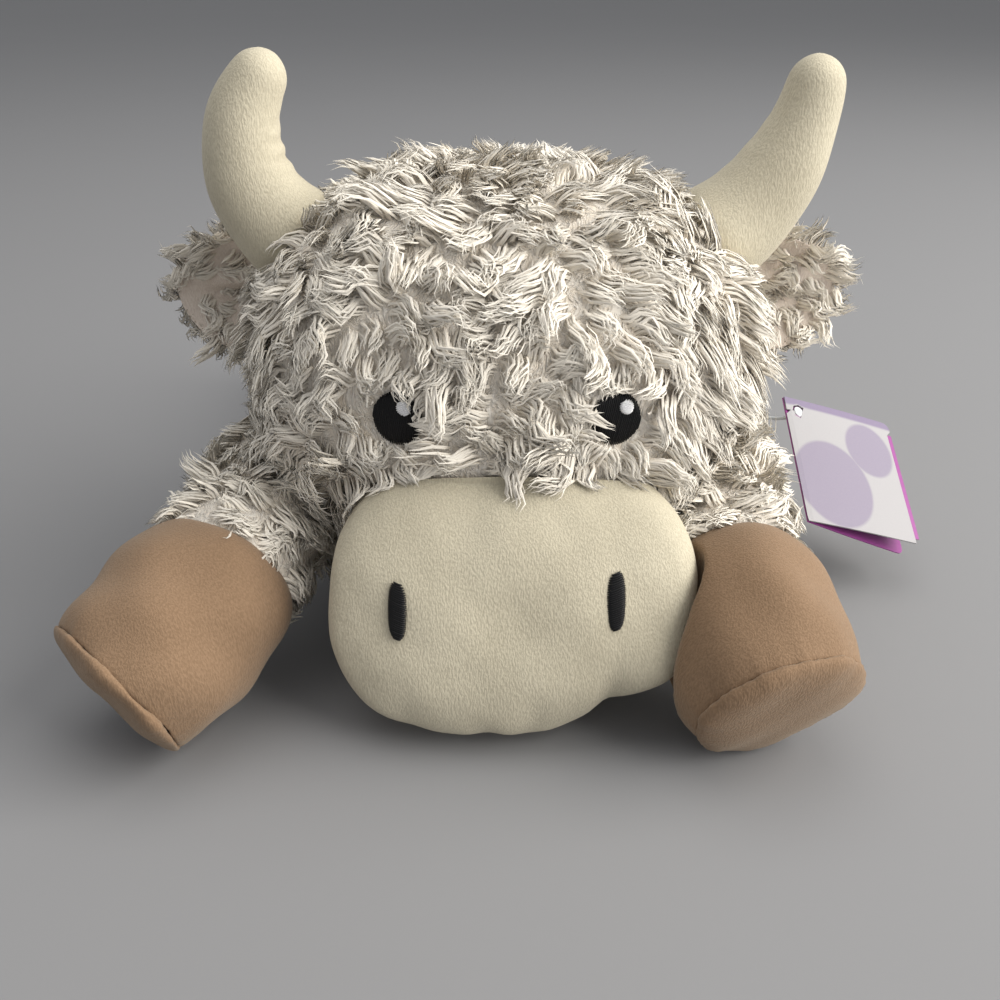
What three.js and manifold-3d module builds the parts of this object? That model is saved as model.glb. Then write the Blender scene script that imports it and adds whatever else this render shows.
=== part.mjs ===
// A plush buffalo lying on its belly: a shaggy cream head and trunk, velvet horns and muzzle,
// and four furry legs with tan velvet hooves. Every skin is a sewn shell over its own stuffing.
//
// Sizes are millimetres and angles are degrees. The toy faces -Y and lies on the table at Z = 0,
// so its own left side is at +X. The origin is on the table under the chest.

import * as THREE from "three";
import { mergeVertices } from "three/addons/utils/BufferGeometryUtils.js";
import Module from "manifold-3d";

const wasm = await Module();
wasm.setup();

// Cloth and clearances
const FUR_CLOTH = 9; // backing and shaggy pile together
const VELVET_CLOTH = 2.5;
const SEAM_GAP = 0.3; // between sewn neighbours
const STUFFING_GAP = 1.2; // between a skin and its stuffing
const SWING_GAP = 0.9; // between neighbours that turn against each other
const SLIVER = 0.2; // the finest detail kept after a cut
const CARVE_ROOM = 1.8; // added where a limb is carved to swing clear of its neighbours

// Trunk: a barrel round the nod axis at the chest, drawn out behind to the rump
const TRUNK_WIDTH = 176;
const TRUNK_RADIUS = 62; // nod axis to the chest and to the back
const TRUNK_REAR = 108; // nod axis to the rump
const TRUNK_AXIS_HEIGHT = 48; // nod axis above the table
const BELLY_PANEL_THICKNESS = 3;
const POUCH_LENGTH = 58; // bag of pellets that weights the belly
const POUCH_WIDTH = 58;
const POUCH_HEIGHT = 34;

// Head
const HEAD_WIDTH = 174;
const HEAD_DEPTH = 134;
const HEAD_HEIGHT = 134;
const HEAD_FORWARD = 57; // nod axis to the middle of the head
const HEAD_CENTRE_HEIGHT = 101;
const HEAD_FULLNESS = 2.4; // 2 is an ellipsoid, more is boxier
const NOD_LIFT = 14; // how far the head lifts

// Muzzle
const MUZZLE_WIDTH = 125;
const MUZZLE_HEIGHT = 87;
const MUZZLE_DEPTH = 58;
const MUZZLE_STAND_OUT = 19; // in front of the face
const MUZZLE_FULLNESS = 2.7;
const MUZZLE_SLOPE = 0.32; // how much further forward the chin stands than the bridge
const MUZZLE_TAPER = 0.55; // share of the width lost at the back
const CHIN_GAP = 2; // above the table
const NOSTRIL_SPACING = 65;
const NOSTRIL_WIDTH = 5.5;
const NOSTRIL_HEIGHT = 19;
const NOSTRIL_RISE = 6; // above the middle of the muzzle

// Embroidery
const STITCH_HEIGHT = 0.9; // how far satin stitch stands off its cloth
const STITCH_CUT = 20; // how far the outline of a patch is cut, to both sides of the pile tips
const EYE_WIDTH = 16;
const EYE_HEIGHT = 18;
const EYE_SPREAD = 22.5; // degrees from straight ahead
const EYE_RISE = 0; // degrees above the middle of the head
const EYE_SINK = 5; // below the tips of the pile
const GLINT_DIAMETER = 4.4;
const GLINT_UP = 4; // from the middle of the eye
const GLINT_SIDE = 2.5;

// Horns: round tubes that leave the head sideways and turn up
const HORN_ROOT_DIAMETER = 37;
const HORN_TIP_DIAMETER = 21;
const HORN_LENGTH = 53;
const HORN_SPREAD = 92; // degrees from straight ahead, round the head
const HORN_RISE = 38; // degrees above the middle of the head
const HORN_SINK = 4; // root's middle below the tips of the pile
const HORN_SWING = 8;
const HORN_SIDES = 10;
const HORN_LEAN = {
  left: { root: 54, tip: 12 },
  right: { root: 58, tip: -40 },
};

// Ears: a shaggy back and a thin lining, cupped forward
const EAR_LENGTH = 46;
const EAR_WIDTH = 44;
const EAR_BACK_THICKNESS = 8;
const EAR_LINING_THICKNESS = 3;
const EAR_CUP = 9; // how far the edges curl forward
const EAR_SPREAD = 116; // degrees from straight ahead, round the head
const EAR_RISE = 14; // degrees above the middle of the head
const EAR_SOCKET = 11; // radius of the hollow where the ear is sewn in
const EAR_SINK = 6; // how far the ear reaches into it
const EAR_SWING = { up: 3, down: 20 };
const EAR_DROOP = 8;

// Legs: a shaggy sleeve, a velvet hoof and a velvet sole
const LEG_ROOT_DIAMETER = 50;
const HOOF_TOP_DIAMETER = 58;
const SOLE_WIDTH = 57;
const SOLE_HEIGHT = 54;
const SOLE_DOME = 6;
const HOOF_LENGTH = 41;
const LEG_SIDES = 12;
const LEG_ROOT_PROUD = 2; // the root's middle outside the trunk
const FOOT_GAP = 0.5; // above the table, which carries the belly
const FOOT_STRAIGHT = 56; // how long the foot runs along its own direction
const FORELEG_REACH = 118; // root to sole, seen from above
const FORELEG = { spread: 58, rise: 12, reach: FORELEG_REACH, swing: 22 };
const FORELEG_POSE = {
  left: { splay: 3.5, turn: 18, droop: 24 },
  right: { splay: 22, turn: 46, droop: 24 },
};
const HINDLEG_REACH = 84;
const HINDLEG = { spread: 142, rise: 12, reach: HINDLEG_REACH, swing: 15 };
const HINDLEG_POSE = {
  left: { splay: 160, turn: 152, droop: 22 },
  right: { splay: 160, turn: 152, droop: 22 },
};

// Tail
const TAIL_DIAMETER = 13;
const TAIL_LENGTH = 52;
const TAIL_HEIGHT = 74; // root above the table
const TAIL_TUFT_LENGTH = 34;
const TAIL_TUFT_DIAMETER = 22;
const TAIL_SWING = 20;

// Swing tag: a folded card on a plastic pin at the shoulder
const TAG_WIDTH = 52;
const TAG_HEIGHT = 58;
const TAG_CARD = 0.7;
const TAG_CORNER = 3;
const TAG_AJAR = 9; // the leaves stand this far open
const TAG_OPENS = 70; // further, from there
const TAG_CLOSES = 8;
const TAG_SWING = 15;
const TAG_HOLE_DIAMETER = 4;
const TAG_HOLE_INSET = 6; // hole to the two edges
const TAG_CORNER_PLACE = new THREE.Vector3(111.7, -7.4, 64.5);
const TAG_DIRECTION = { across: [0.852, 0.275, -0.446], down: [0.018, -0.867, -0.498] };
const TAG_COVER_HOLE_DIAMETER = 8; // clears the pin's knob
const PIN_DIAMETER = 1.6;
const PIN_DEPTH = 5; // into the fur
const PIN_SPREAD = 82; // degrees from straight ahead, round the trunk
const PIN_RISE = 22; // degrees above the nod axis
const PIN_BEND = 14; // behind the card
const PIN_HEAD_DIAMETER = 5.4;
const PIN_HEAD_THICKNESS = 1.8;

// Sewn-in care label
const LABEL_WIDTH = 18;
const LABEL_LENGTH = 26;
const LABEL_RIBBON = 0.6;
const LABEL_SPREAD = 112; // degrees from straight ahead, round the trunk

const SIDES = [
  { name: "left", sign: 1 },
  { name: "right", sign: -1 },
];
const UP = new THREE.Vector3(0, 0, 1);
const BACK = new THREE.Vector3(0, 1, 0);
const LEFT = new THREE.Vector3(1, 0, 0);

const NOD_AXIS = new THREE.Vector3(0, 0, TRUNK_AXIS_HEIGHT);
const BELLY_CUT = BELLY_PANEL_THICKNESS + SEAM_GAP;
const HEAD_CENTRE = new THREE.Vector3(0, -HEAD_FORWARD, HEAD_CENTRE_HEIGHT);
const HEAD_SEMI = new THREE.Vector3(HEAD_WIDTH, HEAD_DEPTH, HEAD_HEIGHT).divideScalar(2);
const MUZZLE_SEMI = new THREE.Vector3(MUZZLE_WIDTH, MUZZLE_DEPTH, MUZZLE_HEIGHT).divideScalar(2);
const MUZZLE_CENTRE = new THREE.Vector3(
  0,
  HEAD_CENTRE.y - HEAD_SEMI.y - MUZZLE_STAND_OUT + MUZZLE_SEMI.y,
  CHIN_GAP + MUZZLE_SEMI.z,
);

function cloth(color, roughness) {
  return new THREE.MeshStandardMaterial({ color, roughness, metalness: 0 });
}

const SHAGGY_CREAM = cloth(0xe6dccf, 0.85);
const VELVET_CREAM = cloth(0xe2dac2, 0.8);
const VELVET_TAN = cloth(0xb08c6c, 0.8);
const STUFFING = cloth(0xf4f3ef, 0.95);
const POUCH_LINEN = cloth(0xd8cdb8, 0.9);
const BLACK_THREAD = cloth(0x121212, 0.5);
const WHITE_THREAD = cloth(0xf2f2f2, 0.5);
const WHITE_CARD = cloth(0xeae6ea, 0.6);
const LABEL_SATIN = cloth(0xf0efec, 0.5);
const CLEAR_PLASTIC = cloth(0xdfe3e6, 0.3);

function toRadians(degrees) {
  return THREE.MathUtils.degToRad(degrees);
}

// A closed geometry as a solid that can be cut and joined.
function solidOf(geometry) {
  const bare = geometry.clone();
  bare.deleteAttribute("normal");
  bare.deleteAttribute("uv");
  const merged = mergeVertices(bare);
  return new wasm.Manifold(
    new wasm.Mesh({
      numProp: 3,
      vertProperties: new Float32Array(merged.attributes.position.array),
      triVerts: new Uint32Array(merged.index.array),
    }),
  );
}

function geometryOf(solid) {
  const mesh = solid.getMesh();
  const geometry = new THREE.BufferGeometry();
  geometry.setAttribute("position", new THREE.BufferAttribute(mesh.vertProperties, mesh.numProp));
  geometry.setIndex(new THREE.BufferAttribute(mesh.triVerts, 1));
  geometry.computeVertexNormals();
  return geometry;
}

function piece(name, solid, material) {
  const mesh = new THREE.Mesh(geometryOf(solid), material);
  mesh.name = name;
  return mesh;
}

// A sphere's vertices moved one by one.
function shapedSphere(columns, rows, move) {
  const geometry = new THREE.SphereGeometry(1, columns, rows);
  const position = geometry.attributes.position;
  const point = new THREE.Vector3();
  for (let i = 0; i < position.count; i++) {
    move(point.fromBufferAttribute(position, i));
    position.setXYZ(i, point.x, point.y, point.z);
  }
  return solidOf(geometry);
}

// How far a unit direction reaches on a form that is fuller than a sphere.
function fullReach(direction, fullness) {
  const { x, y, z } = direction;
  const sum = Math.abs(x) ** fullness + Math.abs(y) ** fullness + Math.abs(z) ** fullness;
  return sum ** (-1 / fullness);
}

// A stuffed form round a middle; outset grows it evenly.
function stuffedForm(centre, semi, fullness, outset, columns, rows) {
  const grown = semi.clone().addScalar(outset);
  return shapedSphere(columns, rows, (p) => {
    p.set(p.x, -p.z, p.y);
    p.multiplyScalar(fullReach(p, fullness)).multiply(grown).add(centre);
  });
}

// The point of such a form, and its outward direction there, at a spread and rise from its front.
function placeOn(centre, semi, fullness, spread, rise, sign) {
  const across = Math.cos(toRadians(rise));
  const direction = new THREE.Vector3(
    sign * Math.sin(toRadians(spread)) * across,
    -Math.cos(toRadians(spread)) * across,
    Math.sin(toRadians(rise)),
  );
  const local = direction.multiplyScalar(fullReach(direction, fullness));
  const steep = (c) => Math.sign(c) * Math.abs(c) ** (fullness - 1);
  const normal = new THREE.Vector3(
    steep(local.x) / semi.x,
    steep(local.y) / semi.y,
    steep(local.z) / semi.z,
  ).normalize();
  return { point: local.multiply(semi).add(centre), normal };
}

function ball(centre, radius) {
  return shapedSphere(12, 8, (p) => p.multiplyScalar(radius).add(centre));
}

function block(low, high) {
  const size = high.clone().sub(low);
  const geometry = new THREE.BoxGeometry(size.x, size.y, size.z);
  geometry.translate((low.x + high.x) / 2, (low.y + high.y) / 2, (low.z + high.z) / 2);
  return solidOf(geometry);
}

// A closed skin over rings that all have the same number of points.
function loft(rings) {
  const sides = rings[0].length;
  const points = rings.flat();
  const faces = [];
  for (let i = 0; i + sides < points.length; i++) {
    const next = i % sides === sides - 1 ? i + 1 - sides : i + 1;
    faces.push(i, next, i + sides, next, next + sides, i + sides);
  }
  const last = points.length - sides;
  const middle = (ring) =>
    ring.reduce((sum, p) => sum.add(p), new THREE.Vector3()).divideScalar(sides);
  points.push(middle(rings[0]), middle(rings[rings.length - 1]));
  for (let s = 0; s < sides; s++) {
    const next = (s + 1) % sides;
    faces.push(points.length - 2, next, s, points.length - 1, last + s, last + next);
  }
  const geometry = new THREE.BufferGeometry().setFromPoints(points);
  geometry.setIndex(faces);
  return solidOf(geometry);
}

// A ring of points round a place, square to a direction.
function ring(place, direction, reference, wide, high, sides) {
  const side = new THREE.Vector3().crossVectors(reference, direction).normalize();
  const top = new THREE.Vector3().crossVectors(direction, side).normalize();
  return Array.from({ length: sides }, (_, i) => {
    const angle = (2 * Math.PI * i) / sides;
    return place
      .clone()
      .addScaledVector(side, wide * Math.cos(angle))
      .addScaledVector(top, high * Math.sin(angle));
  });
}

// Takes a blocker out of a solid at every step of the solid's own swing round a hinge.
function clearOfSwing(solid, blocker, hinge, axis, low, high, steps = 2) {
  let left = solid;
  for (let i = 0; i <= steps; i++) {
    const angle = -toRadians(low + ((high - low) * i) / steps);
    const turn = new THREE.Matrix4()
      .makeTranslation(hinge)
      .multiply(new THREE.Matrix4().makeRotationAxis(axis, angle))
      .multiply(new THREE.Matrix4().makeTranslation(hinge.clone().negate()));
    left = left.subtract(blocker.transform(turn.elements));
  }
  return left;
}

// All the room a solid on the head takes while the head lifts.
function throughNod(solid) {
  const lifted = [0, 0.5, 1].map((share) => {
    const turn = new THREE.Matrix4()
      .makeTranslation(NOD_AXIS)
      .multiply(new THREE.Matrix4().makeRotationX(-toRadians(NOD_LIFT * share)))
      .multiply(new THREE.Matrix4().makeTranslation(NOD_AXIS.clone().negate()));
    return solid.transform(turn.elements);
  });
  return lifted.reduce((all, next) => all.add(next));
}

// The largest body of a solid, without the crumbs and slivers that cuts leave.
function largest(solid) {
  const bodies = solid.asOriginal().simplify(SLIVER).decompose();
  return bodies.reduce((best, next) => (next.volume() > best.volume() ? next : best));
}

// The trunk's outside: round about the nod axis in front, drawn out behind.
function trunkForm(outset, columns = 20, rows = 12) {
  const radius = TRUNK_RADIUS + outset;
  return shapedSphere(columns, rows, (p) => {
    p.set(p.y, p.z, p.x);
    p.x *= TRUNK_WIDTH / 2 + outset;
    p.y *= p.y < 0 ? radius : TRUNK_REAR + outset;
    p.z = TRUNK_AXIS_HEIGHT + p.z * radius;
  });
}

// The hollow at the back of the head, round about the same axis, so that the head can nod.
function chestBowl(outset) {
  const radius = TRUNK_RADIUS + outset;
  return shapedSphere(20, 12, (p) => {
    p.set(p.y, p.z, p.x);
    p.multiply(new THREE.Vector3(TRUNK_WIDTH / 2 + outset, radius, radius)).add(NOD_AXIS);
  });
}

function placeOnTrunk(spread, rise, sign) {
  const behind = Math.cos(toRadians(spread)) < 0;
  const semi = new THREE.Vector3(
    TRUNK_WIDTH / 2,
    behind ? TRUNK_REAR : TRUNK_RADIUS,
    TRUNK_RADIUS,
  );
  return placeOn(NOD_AXIS, semi, 2, spread, rise, sign);
}

function headForm(outset, columns = 20, rows = 12) {
  return stuffedForm(HEAD_CENTRE, HEAD_SEMI, HEAD_FULLNESS, outset, columns, rows);
}

// The muzzle is widest near its front, narrows behind and slopes forward to the chin.
function muzzleForm(outset) {
  const grown = MUZZLE_SEMI.clone().addScalar(outset);
  return shapedSphere(18, 12, (p) => {
    p.set(p.x, -p.z, p.y);
    p.multiplyScalar(fullReach(p, MUZZLE_FULLNESS)).multiply(grown);
    const behind = Math.max(0, p.y / grown.y + 0.7) / 1.7;
    p.x *= 1 - MUZZLE_TAPER * behind;
    p.y += MUZZLE_SLOPE * p.z;
    p.add(MUZZLE_CENTRE);
  });
}

// One leg: where it is rooted, the curve it follows and how thick it is along the way.
class Leg {
  constructor(name, side, frame, pose) {
    this.name = name;
    this.side = side;
    this.swing = frame.swing;
    const root = placeOnTrunk(frame.spread, frame.rise, side.sign);
    this.root = root.point.addScaledVector(root.normal, LEG_ROOT_PROUD);
    const heading = (angle) =>
      new THREE.Vector3(side.sign * Math.sin(toRadians(angle)), -Math.cos(toRadians(angle)), 0);
    const droop = toRadians(pose.droop);
    this.soleNormal = heading(pose.turn).multiplyScalar(Math.cos(droop));
    this.soleNormal.z = -Math.sin(droop);
    this.sole = this.root.clone().addScaledVector(heading(pose.splay), frame.reach);
    this.sole.z = (SOLE_HEIGHT / 2) * Math.cos(droop) + FOOT_GAP;
    const bend = this.sole.clone().addScaledVector(this.soleNormal, -FOOT_STRAIGHT);
    this.curve = new THREE.QuadraticBezierCurve3(this.root, bend, this.sole);
    this.length = this.curve.getLength();
    this.hoofStart = 1 - HOOF_LENGTH / this.length;
  }

  // The ring at a share of the leg's length, drawn in by an inset.
  ringAt(share, inset) {
    const toHoof = THREE.MathUtils.smoothstep(share, 0, this.hoofStart);
    const toSole = THREE.MathUtils.smoothstep(share, this.hoofStart, 1);
    const sleeve = THREE.MathUtils.lerp(LEG_ROOT_DIAMETER, HOOF_TOP_DIAMETER, toHoof);
    const wide = THREE.MathUtils.lerp(sleeve, SOLE_WIDTH, toSole) / 2 - inset;
    const high = THREE.MathUtils.lerp(sleeve, SOLE_HEIGHT, toSole) / 2 - inset;
    const direction = this.curve.getTangentAt(share).lerp(this.soleNormal, toSole).normalize();
    return ring(this.curve.getPointAt(share), direction, UP, wide, high, LEG_SIDES);
  }

  rings(from, to, inset, steps) {
    const at = (i) => this.ringAt(THREE.MathUtils.lerp(from, to, i / steps), inset);
    return Array.from({ length: steps + 1 }, (_, i) => at(i));
  }

  // Rings that close the leg with a round end inside the trunk.
  rootRings(inset) {
    const direction = this.curve.getTangentAt(0);
    const radius = LEG_ROOT_DIAMETER / 2 - inset;
    return [70, 35].map((angle) => {
      const place = this.root.clone();
      place.addScaledVector(direction, -radius * Math.sin(toRadians(angle)));
      const wide = radius * Math.cos(toRadians(angle));
      return ring(place, direction, UP, wide, wide, LEG_SIDES);
    });
  }

  // Rings of the domed end, from the seam outward.
  soleRings(lift, inset) {
    return [0, 40, 75].map((angle) => {
      const place = this.sole.clone();
      const rise = lift + (SOLE_DOME - inset) * Math.sin(toRadians(angle));
      place.addScaledVector(this.soleNormal, rise);
      const share = Math.cos(toRadians(angle));
      const wide = (SOLE_WIDTH / 2 - inset) * share;
      const high = (SOLE_HEIGHT / 2 - inset) * share;
      return ring(place, this.soleNormal, UP, wide, high, LEG_SIDES);
    });
  }

  // Outward from the rest pose; a positive turn about Z takes the left foreleg outward.
  get swingRange() {
    const ahead = this.sole.y < this.root.y;
    return ahead === this.side.sign > 0 ? [0, this.swing] : [-this.swing, 0];
  }

  socket(outset) {
    return ball(this.root, LEG_ROOT_DIAMETER / 2 + outset);
  }

  pieces(blockers) {
    const gap = SEAM_GAP / this.length;
    const skinEnd = this.hoofStart - gap / 2;
    const hoofBegin = this.hoofStart + gap / 2;
    const hoofEnd = 1 - gap;
    const carve = (solid) =>
      largest(
        blockers.reduce(
          (rest, blocker) => clearOfSwing(rest, blocker, this.root, UP, ...this.swingRange),
          solid,
        ),
      );
    const sleeveOut = carve(loft([...this.rootRings(0), ...this.rings(0, skinEnd, 0, 3)]));
    const sleeveIn = loft([
      ...this.rootRings(FUR_CLOTH),
      ...this.rings(0, skinEnd + 0.01, FUR_CLOTH, 3),
    ]);
    const hoofOut = carve(loft(this.rings(hoofBegin, hoofEnd, 0, 2)));
    const hoofIn = loft(this.rings(hoofBegin - 0.01, 1.0, VELVET_CLOTH, 2));
    const sole = loft(this.soleRings(0, 0));
    const stuffingIn = loft([
      ...this.rootRings(FUR_CLOTH + STUFFING_GAP),
      ...this.rings(0, hoofEnd - gap, FUR_CLOTH + STUFFING_GAP, 5),
    ]);
    return [
      piece(`${this.name}_sleeve_${this.side.name}`, largest(sleeveOut.subtract(sleeveIn)), SHAGGY_CREAM),
      piece(`${this.name}_hoof_${this.side.name}`, hoofOut.subtract(hoofIn), VELVET_TAN),
      piece(`${this.name}_sole_${this.side.name}`, sole, VELVET_TAN),
      piece(`${this.name}_stuffing_${this.side.name}`, carve(stuffingIn), STUFFING),
    ];
  }
}

// One horn: an arc that leans outward at the root and turns upright.
class Horn {
  constructor(side) {
    this.side = side;
    this.lean = HORN_LEAN[side.name];
    const seat = placeOn(
      HEAD_CENTRE, HEAD_SEMI, HEAD_FULLNESS, HORN_SPREAD, HORN_RISE, side.sign,
    );
    this.root = seat.point.addScaledVector(seat.normal, -HORN_SINK);
  }

  leanAt(share) {
    return toRadians(THREE.MathUtils.lerp(this.lean.root, this.lean.tip, share));
  }

  directionAt(share) {
    const lean = this.leanAt(share);
    return new THREE.Vector3(this.side.sign * Math.sin(lean), 0, Math.cos(lean));
  }

  placeAt(share) {
    const start = this.leanAt(0);
    const lean = this.leanAt(share);
    const radius = HORN_LENGTH / (this.leanAt(1) - start);
    const sideways = this.side.sign * radius * (Math.cos(start) - Math.cos(lean));
    const upward = radius * (Math.sin(lean) - Math.sin(start));
    return this.root.clone().add(new THREE.Vector3(sideways, 0, upward));
  }

  ringAt(share, inset) {
    const radius = THREE.MathUtils.lerp(HORN_ROOT_DIAMETER, HORN_TIP_DIAMETER, share) / 2 - inset;
    return ring(this.placeAt(share), this.directionAt(share), BACK, radius, radius, HORN_SIDES);
  }

  // Rings of a round end; ahead is 1 at the tip and -1 at the root.
  endRings(share, ahead, inset, angles) {
    const diameter = ahead > 0 ? HORN_TIP_DIAMETER : HORN_ROOT_DIAMETER;
    const radius = diameter / 2 - inset;
    const direction = this.directionAt(share);
    return angles.map((angle) => {
      const place = this.placeAt(share);
      place.addScaledVector(direction, ahead * radius * Math.sin(toRadians(angle)));
      const wide = radius * Math.cos(toRadians(angle));
      return ring(place, direction, BACK, wide, wide, HORN_SIDES);
    });
  }

  // The horn drawn in by an inset; an open form runs out through the root.
  form(inset, open) {
    const mouth = this.root.clone().addScaledVector(this.directionAt(0), -HORN_ROOT_DIAMETER);
    const narrow = HORN_ROOT_DIAMETER / 4;
    const root = open
      ? [ring(mouth, this.directionAt(0), BACK, narrow, narrow, HORN_SIDES)]
      : this.endRings(0, -1, inset, [70, 30]);
    return loft([
      ...root,
      ...[0, 0.25, 0.5, 0.75, 1].map((share) => this.ringAt(share, inset)),
      ...this.endRings(1, 1, inset, [40, 75]),
    ]);
  }

  socket(outset) {
    return ball(this.root, HORN_ROOT_DIAMETER / 2 + outset);
  }

  pieces() {
    const skin = this.form(0, false).subtract(this.form(VELVET_CLOTH, true));
    const stuffing = this.form(VELVET_CLOTH + SEAM_GAP, false);
    return [
      piece(`horn_skin_${this.side.name}`, skin, VELVET_CREAM),
      piece(`horn_stuffing_${this.side.name}`, stuffing, STUFFING),
    ];
  }
}

// One ear: a leaf rooted in a hollow of the head, flapping about a fore-and-aft axis.
class Ear {
  constructor(side) {
    this.side = side;
    const seat = placeOn(HEAD_CENTRE, HEAD_SEMI, HEAD_FULLNESS, EAR_SPREAD, EAR_RISE, side.sign);
    this.root = seat.point;
    const droop = toRadians(EAR_DROOP);
    const along = new THREE.Vector3(side.sign * Math.cos(droop), 0, -Math.sin(droop));
    const across = new THREE.Vector3().crossVectors(BACK, along);
    this.place = new THREE.Matrix4().makeBasis(along, across, BACK).setPosition(this.root);
  }

  // A leaf flat on one face and domed on the other; toBack is 1 for the back and -1 for the lining.
  leaf(toBack, thickness) {
    return shapedSphere(10, 8, (p) => {
      const depth = SEAM_GAP / 2 + Math.max(0, p.z) * thickness;
      const curl = EAR_CUP * p.y * p.y;
      const along = ((p.x + 1) / 2) * EAR_LENGTH - EAR_SINK;
      p.set(along, (p.y * EAR_WIDTH * (1 - 0.18 * p.x)) / 2, depth);
      p.y *= toBack;
      p.z = toBack * p.z - curl;
      p.applyMatrix4(this.place);
    });
  }

  get swingRange() {
    const { up, down } = EAR_SWING;
    return this.side.sign > 0 ? [-up, down] : [-down, up];
  }

  socket(outset) {
    return ball(this.root, EAR_SOCKET + outset);
  }

  pieces(head) {
    const blocker = head.subtract(this.socket(-SWING_GAP));
    const carve = (solid) =>
      largest(clearOfSwing(solid, blocker, this.root, BACK, ...this.swingRange));
    return [
      piece(`ear_back_${this.side.name}`, carve(this.leaf(1, EAR_BACK_THICKNESS)), SHAGGY_CREAM),
      piece(`ear_lining_${this.side.name}`, carve(this.leaf(-1, EAR_LINING_THICKNESS)), VELVET_CREAM),
    ];
  }
}

// A straight oval rod between two distances along a direction.
function rod(place, direction, width, height, from, to) {
  const at = (distance) => place.clone().addScaledVector(direction, distance);
  return loft([
    ring(at(from), direction, UP, width / 2, height / 2, 12),
    ring(at(to), direction, UP, width / 2, height / 2, 12),
  ]);
}

// One embroidered eye, sunk in the pile, and its stitched highlight.
class Eye {
  constructor(side) {
    this.side = side;
    const seat = placeOn(HEAD_CENTRE, HEAD_SEMI, HEAD_FULLNESS, EYE_SPREAD, EYE_RISE, side.sign);
    this.place = seat.point;
    this.normal = seat.normal;
  }

  prism(grow) {
    return rod(this.place, this.normal, EYE_WIDTH + grow, EYE_HEIGHT + grow, -STITCH_CUT, STITCH_CUT);
  }

  recess() {
    const floor = headForm(-EYE_SINK - STITCH_HEIGHT - SEAM_GAP);
    return this.prism(2 * SEAM_GAP).subtract(floor);
  }

  pieces() {
    const side = new THREE.Vector3().crossVectors(UP, this.normal).normalize();
    const top = new THREE.Vector3().crossVectors(this.normal, side);
    const glint = this.place.clone().addScaledVector(top, GLINT_UP).addScaledVector(side, GLINT_SIDE);
    const layer = (low, high) => headForm(high).subtract(headForm(low));
    const eyeLayer = layer(-EYE_SINK - STITCH_HEIGHT, -EYE_SINK);
    const glintLow = SEAM_GAP - EYE_SINK;
    const glintLayer = layer(glintLow, glintLow + STITCH_HEIGHT);
    const size = GLINT_DIAMETER;
    const glintRod = rod(glint, this.normal, size, size, -STITCH_CUT, STITCH_CUT);
    return [
      piece(`eye_${this.side.name}`, eyeLayer.intersect(this.prism(0)), BLACK_THREAD),
      piece(`eye_glint_${this.side.name}`, glintLayer.intersect(glintRod), WHITE_THREAD),
    ];
  }
}

function nostril(side) {
  const place = MUZZLE_CENTRE.clone();
  place.x += (side.sign * NOSTRIL_SPACING) / 2;
  place.z += NOSTRIL_RISE;
  const ahead = BACK.clone().negate();
  const stitches = rod(place, ahead, NOSTRIL_WIDTH, NOSTRIL_HEIGHT, 0, MUZZLE_DEPTH);
  const layer = muzzleForm(SEAM_GAP + STITCH_HEIGHT).subtract(muzzleForm(SEAM_GAP));
  return piece(`nostril_${side.name}`, largest(layer.intersect(stitches)), BLACK_THREAD);
}

// The tail: a tapered strap rooted in the rump, with a shaggy tuft on its end.
class Tail {
  constructor() {
    const rise = (TAIL_HEIGHT - TRUNK_AXIS_HEIGHT) / TRUNK_RADIUS;
    this.root = new THREE.Vector3(0, TRUNK_REAR * Math.sqrt(1 - rise * rise), TAIL_HEIGHT);
    const drop = TAIL_LENGTH * Math.SQRT1_2;
    const bend = this.root.clone().add(new THREE.Vector3(0, drop * 0.7, 0));
    const end = this.root.clone().add(new THREE.Vector3(0, drop * 0.9, -drop));
    this.curve = new THREE.QuadraticBezierCurve3(this.root, bend, end);
    this.tuftStart = 1 - (TAIL_TUFT_LENGTH * 0.4) / this.curve.getLength();
  }

  strap(outset) {
    const at = (share) => {
      const radius = (TAIL_DIAMETER / 2) * (1 - 0.25 * share) + outset;
      const along = this.curve.getTangentAt(share);
      return ring(this.curve.getPointAt(share), along, LEFT, radius, radius, 10);
    };
    const back = this.curve.getTangentAt(0);
    const rounded = [70, 35].map((angle) => {
      const radius = TAIL_DIAMETER / 2 + outset;
      const place = this.root.clone().addScaledVector(back, -radius * Math.sin(toRadians(angle)));
      const wide = radius * Math.cos(toRadians(angle));
      return ring(place, back, LEFT, wide, wide, 10);
    });
    return loft([...rounded, ...[0, 0.33, 0.67, 1].map(at)]);
  }

  tuft() {
    const start = this.curve.getPointAt(this.tuftStart);
    const down = this.curve.getTangentAt(1);
    const rings = [10, 45, 80, 120, 165].map((angle) => {
      const share = (1 - Math.cos(toRadians(angle))) / 2;
      const place = start.clone().addScaledVector(down, TAIL_TUFT_LENGTH * share);
      const radius = (TAIL_TUFT_DIAMETER / 2) * Math.sin(toRadians(angle)) * (1.1 - 0.25 * share);
      return ring(place, down, LEFT, radius, radius, 12);
    });
    return loft(rings);
  }

  socket(outset) {
    return ball(this.root, TAIL_DIAMETER / 2 + outset);
  }

  pieces(trunk) {
    const blocker = trunk.subtract(this.socket(SEAM_GAP));
    const carve = (solid) =>
      largest(clearOfSwing(solid, blocker, this.root, UP, -TAIL_SWING, TAIL_SWING));
    return [
      piece("tail_strap", carve(this.strap(0)), VELVET_CREAM),
      piece("tail_tuft", carve(this.tuft().subtract(this.strap(SEAM_GAP))), SHAGGY_CREAM),
    ];
  }
}

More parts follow.
